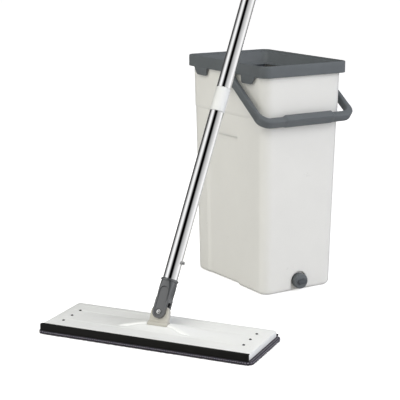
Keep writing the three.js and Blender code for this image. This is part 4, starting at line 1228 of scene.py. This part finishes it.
def knuckle_body():
    """The fork's ears, growing into a rounded square body below the collar."""
    outline = [(FORK_R, 20), (-FORK_R, 20), *arc((0, 0), FORK_R, 180, 360, 32)]
    ears = prism(outline, -FORK_HALF_Y, FORK_HALF_Y, "y")
    levels = [(FORK_R, 2.4, 12), (FORK_R + 0.3, 3.0, 26), (KNUCKLE_HALF - 0.2, 3.6, 33)]
    levels += [(KNUCKLE_HALF, 4.5, 38), (KNUCKLE_HALF + 0.3, 6.4, 43)]
    levels += [(KNUCKLE_HALF + 0.4, 8, COLLAR_Z[0] + 0.5)]
    rings = [rectangle_ring(half, half, corner, z) for half, corner, z in levels]
    return add(ears, loft("body", rings))


def knuckle_recess():
    """A long hollow in the front face with slanting sides, and a deeper ring round the bolt's head."""
    front = -FORK_HALF_Y
    rings = []
    for y, radius in ((front - 6, 8.3), (front, 6.9), (front + RECESS_FACE_DEPTH, 6.2)):
        facing = arc((0, 31), radius, 0, 180, 20) + arc((0, 0), radius, 180, 360, 20)
        rings.append([(x, y, z) for x, z in facing])
    hollow = loft("recess", rings)
    return add(hollow, rod("y", 4.9, front, front + RECESS_FACE_DEPTH + 0.5))


def make_knuckle(materials):
    fork = knuckle_body()
    slot = block((-20, 20), (-TONGUE_HALF_Y - GAP, TONGUE_HALF_Y + GAP), (-20, KNUCKLE_SLOT_TOP))
    cut(fork, slot, knuckle_recess())
    bevelled(fork, 0.7, 3, 32)
    low, high = COLLAR_Z
    profile = [(SPIGOT_BORE_R, 40), (SPIGOT_R, 40), (SPIGOT_R, low - 0.4), (COLLAR_R - 0.9, low)]
    profile += [(COLLAR_R - 0.2, low + 0.3), (COLLAR_R, low + 1.0), (COLLAR_R, high - 1.0)]
    profile += [(COLLAR_R - 0.3, high - 0.3), (COLLAR_R - 1, high), (SPIGOT_R, high)]
    profile += [(SPIGOT_R, SPIGOT_TOP_Z - 0.6), (SPIGOT_R - 0.6, SPIGOT_TOP_Z), (SPIGOT_BORE_R, SPIGOT_TOP_Z)]
    cut(fork, rod("z", SPIGOT_BORE_R, 40, 100))
    add(fork, lathe("collar", profile, 72))
    cut(fork, rod("y", BOLT_R + 0.1, -20, 20), rod("x", BUTTON_R + 0.35, 0, 20, (0, 0, BUTTON_Z), 32))
    finish_piece(fork, "knuckle_fork", "pole", "pole", materials["knuckle"], ["knuckle"])


def make_bolt(materials):
    face = FORK_HALF_Y - 1.1 + GAP
    dome = [(0, -face - 2.0), (1.6, -face - 1.85), (2.7, -face - 1.45)]
    dome += [(3.35, -face - 0.8), (3.5, -face - 0.3)]
    shank = [(3.5, -face), (BOLT_R, -face), (BOLT_R, FORK_HALF_Y + 2.2), (BOLT_R - 0.4, FORK_HALF_Y + 2.6)]
    bolt = lathe("bolt", [*dome, *shank, (0, FORK_HALF_Y + 2.6)], 48)
    turned(bolt, Matrix.Rotation(-math.pi / 2, 4, "X"))
    depth = (-face - 3, -face - 0.7)
    cut(bolt, block((-2.1, 2.1), depth, (-0.42, 0.42)), block((-0.42, 0.42), depth, (-2.1, 2.1)))
    finish_piece(bolt, "cross_head_bolt", "pole", "pole", materials["bolt"], ["fold_bolt"])


def tube_profile(low, high):
    lip = 0.25
    return [
        (TUBE_BORE_R, low),
        (TUBE_R - lip, low),
        (TUBE_R, low + lip),
        (TUBE_R, high - lip),
        (TUBE_R - lip, high),
        (TUBE_BORE_R, high),
    ]


def make_tubes(materials):
    spans = {
        "lower_tube": (COLLAR_Z[1] + GAP, LOWER_COUPLER_Z - GAP),
        "middle_tube": (LOWER_COUPLER_Z + COUPLER_LENGTH + GAP, UPPER_COUPLER_Z - GAP),
        "upper_tube": (UPPER_COUPLER_Z + COUPLER_LENGTH + GAP, POLE_END_Z - 4),
    }
    for name, (low, high) in spans.items():
        tube = lathe(name, tube_profile(low, high), 128)
        if name == "lower_tube":
            cut(tube, rod("x", BUTTON_R + 0.35, 0, 20, (0, 0, BUTTON_Z), 32))
        finish_piece(tube, f"{name}_chrome", "pole", "pole", materials["chrome"], [name])


def make_couplers(materials):
    flush = TUBE_R + 0.15
    for name, low in (("lower_coupler", LOWER_COUPLER_Z), ("upper_coupler", UPPER_COUPLER_Z)):
        high = low + COUPLER_LENGTH
        profile = [(SPIGOT_BORE_R, low - COUPLER_SPIGOT), (SPIGOT_R, low - COUPLER_SPIGOT), (SPIGOT_R, low)]
        profile += [(flush - 0.5, low), (flush - 0.1, low + 0.2), (flush, low + 0.7)]
        for ring in (low + 3.0, high - 3.0):
            profile += [(flush, ring - 0.35), (flush - 0.25, ring - 0.15), (flush - 0.25, ring + 0.15)]
            profile += [(flush, ring + 0.35)]
        profile += [(flush, high - 0.7), (flush - 0.1, high - 0.2), (flush - 0.5, high), (SPIGOT_R, high)]
        profile += [(SPIGOT_R, high + COUPLER_SPIGOT), (SPIGOT_BORE_R, high + COUPLER_SPIGOT)]
        sleeve = lathe(name, profile, 96)
        finish_piece(sleeve, f"{name}_sleeve", "pole", "pole", materials["coupler"], [name])


def make_grip(materials):
    bore = TUBE_R + GAP
    low = GRIP_START_Z
    profile = [(bore, low), (bore + 2, low), (GRIP_R - 1.4, low + 1.2), (GRIP_R - 0.5, low + 3.5)]
    for z in np.linspace(low + 5, POLE_END_Z - 16, 90):
        t = (z - low - 5) / (POLE_END_Z - 21 - low)
        wave = 0.5 + 0.5 * math.cos(TAU * 4 * t)
        rib = 0.22 * math.cos(TAU * 24 * t)
        profile.append((GRIP_R - 1.1 + 0.9 * wave + rib - 0.1, z))
    profile += [(GRIP_R, POLE_END_Z - 12), (GRIP_R, POLE_END_Z - 0.8)]
    profile += [(GRIP_R - 0.8, POLE_END_Z), (bore, POLE_END_Z)]
    grip = lathe("grip", profile, 96)
    finish_piece(grip, "hand_grip_sleeve", "pole", "pole", materials["slate"], ["hand_grip"])
    start = POLE_END_Z + GAP
    dome = [(0, start), (GRIP_R - 0.8, start), (GRIP_R, start + 0.8)]
    dome += [(GRIP_R, start + 5), (GRIP_R - 0.8, start + 7.6)]
    dome += [(GRIP_R - 3, start + 10.4), (GRIP_R - 6.5, start + 12.2), (0, start + 13)]
    cap = lathe("cap", dome, 96)
    outline = [(-GRIP_R + 1, start + 2), (GRIP_R - 1, start + 2), *arc((0, start + 27), 12.5, 0, 180, 32)]
    tab = bevelled(prism(outline, -4, 4, "y"), 1.6, 4, 40)
    add(cap, tab)
    cut(cap, rod("y", 8, -10, 10, (0, 0, start + 26)))
    bevelled(cap, 0.5, 2, 60)
    finish_piece(cap, "hanging_end_cap", "pole", "pole", materials["slate"], ["hanging_cap"])


def make_button(materials):
    profile = [(0, 5), (4, 5), (4, 6.2), (BUTTON_R, 6.2), (BUTTON_R, BUTTON_TIP_X - 2.2)]
    profile += [(BUTTON_R * math.cos(a), BUTTON_TIP_X - 2.2 + 2.2 * math.sin(a)) for a in (0.4, 0.8, 1.2)]
    profile += [(0, BUTTON_TIP_X)]
    button = lathe("button", profile, 40)
    turned(button, Matrix.Rotation(math.pi / 2, 4, "Y"))
    shifted(button, 0, 0, BUTTON_Z)
    finish_piece(button, "snap_button_pin", "pole", "button", materials["steel"], ["snap_button"])


# ---------------------------------------------------------------- CAD nodes that keep their shape


def paint_cad_nodes(materials):
    finishes = {
        "divider": ["divider_panel"],
        "dark": ["drain_seat", "wash_comb", "dry_blade_holder"],
        "slate": ["bail_pin_left", "bail_pin_right"],
        "silicone": ["dry_lip"],
        "hook": ["front_hook_strip", "rear_hook_strip"],
        "steel": ["tilt_pin", "fold_nut", "button_spring"],
    }
    for slot_name in ("wash", "dry"):
        for end_name in ("left", "right"):
            finishes["steel"] += [f"{slot_name}_axle_{end_name}", f"{slot_name}_screw_{end_name}"]
    for key, names in finishes.items():
        for name in names:
            node = frame["nodes"][name]
            node.data.materials.clear()
            node.data.materials.append(materials[key])


# ---------------------------------------------------------------- studio


def stage_plane(name, half, height, colour, glow):
    corners = [(-half, -half, height), (half, -half, height), (half, half, height), (-half, half, height)]
    plane = new_object(name, corners, [(0, 1, 2, 3)])
    material, nodes, links, shader = material_shell(f"{name}_paint")
    mottle = noise_node(nodes, links, 3.0)
    links.new(
        colour_range(nodes, links, mottle.outputs["Fac"], shade_of(colour, 0.995), colour),
        shader.inputs["Base Color"],
    )
    shader.inputs["Roughness"].default_value = 0.9
    shader.inputs["Specular IOR Level"].default_value = 0.05
    shader.inputs["Emission Color"].default_value = (1, 1, 1, 1)
    shader.inputs["Emission Strength"].default_value = glow
    plane.data.materials.append(material)
    return plane


WARM = (1.0, 0.98, 0.86)
COOL = (0.95, 0.98, 1.12)


def area_light(name, direction, distance, size, power, colour=(1, 1, 1), glossy=True):
    target = (-0.15, -0.05, 0.2)
    data = bpy.data.lights.new(name, "AREA")
    data.shape = "RECTANGLE"
    data.size, data.size_y = size
    data.energy = power
    data.color = colour
    light = bpy.data.objects.new(name, data)
    away = Vector(direction).normalized()
    light.location = Vector(target) + away * distance
    light.rotation_mode = "QUATERNION"
    light.rotation_quaternion = (-away).to_track_quat("-Z", "Y")
    bpy.context.scene.collection.objects.link(light)
    light.visible_camera = False
    light.visible_glossy = glossy
    return light


# Brightness round the room, by degrees from the direction of the camera, positive to its right.
ROOM = [(-180, 0.11), (-140, 0.08), (-118, 0.09), (-106, 0.45), (-91, 0.9), (-70, 1.2), (-51, 0.9)]
ROOM += [(-42, 0.5), (-33, 0.17), (-24, 0.0), (10, 0.0), (16, 0.15), (24, 0.42), (33, 0.57)]
ROOM += [(51, 0.70), (70, 0.90), (91, 1.2), (106, 1.0), (118, 0.7), (132, 0.3), (142, 0.12)]
ROOM += [(180, 0.11)]


def studio_world(towards_camera):
    """Upright bands of light and dark round the room, for the tube to mirror."""
    world = bpy.data.worlds.new("studio")
    bpy.context.scene.world = world
    world.use_nodes = True
    nodes, links = world.node_tree.nodes, world.node_tree.links
    coordinates = nodes.new("ShaderNodeTexCoord")
    turn = nodes.new("ShaderNodeMapping")
    turn.vector_type = "TEXTURE"
    turn.inputs["Rotation"].default_value = (0, 0, towards_camera)
    split = nodes.new("ShaderNodeSeparateXYZ")
    angle = nodes.new("ShaderNodeMath")
    angle.operation = "ARCTAN2"
    share = nodes.new("ShaderNodeMapRange")
    share.inputs["From Min"].default_value = -math.pi
    share.inputs["From Max"].default_value = math.pi
    ramp = nodes.new("ShaderNodeValToRGB")
    links.new(coordinates.outputs["Generated"], turn.inputs["Vector"])
    links.new(turn.outputs["Vector"], split.inputs["Vector"])
    links.new(split.outputs["Y"], angle.inputs[0])
    links.new(split.outputs["X"], angle.inputs[1])
    links.new(angle.outputs["Value"], share.inputs["Value"])
    links.new(share.outputs["Result"], ramp.inputs["Fac"])
    elements = ramp.color_ramp.elements
    while len(elements) < len(ROOM):
        elements.new(0.5)
    for element, (degrees, level) in zip(elements, ROOM):
        element.position = (degrees + 180) / 360
        element.color = (level, level, level, 1)
    background = nodes["Background"]
    background.inputs["Strength"].default_value = 1.0
    links.new(ramp.outputs["Color"], background.inputs["Color"])


def make_studio(towards_camera):
    studio_world(towards_camera)
    bounce = stage_plane("floor_bounce", 20, -0.0006, (0.85, 0.85, 0.85), 0)
    bounce.visible_camera = False
    bounce.visible_glossy = False
    floor = stage_plane("floor", 20, -0.0003, (0.9, 0.9, 0.9), 0.6)
    floor.visible_diffuse = False
    floor.visible_glossy = False
    area_light("key_light", (-0.85, -0.5, 0.6), 2.6, (2.6, 2.6), 42, WARM, glossy=False)
    area_light("fill_light", (0.35, -1.0, 0.6), 2.8, (2.4, 2.4), 27, COOL, glossy=False)
    area_light("top_light", (0.1, 0.1, 1.0), 2.4, (2.6, 2.6), 8)
    bpy.context.scene.view_settings.view_transform = "Standard"


# ---------------------------------------------------------------- assembly

towards = make_camera()
finishes = make_materials()
make_bucket(finishes)
make_drain(finishes)
make_bail(finishes)
make_lid(finishes)
make_rollers(finishes)
make_plate(finishes)
make_plugs(finishes)
make_edge_strips(finishes)
make_pad(finishes)
make_saddle(finishes)
make_knuckle(finishes)
make_bolt(finishes)
make_tubes(finishes)
make_couplers(finishes)
make_grip(finishes)
make_button(finishes)
paint_cad_nodes(finishes)
make_studio(towards)
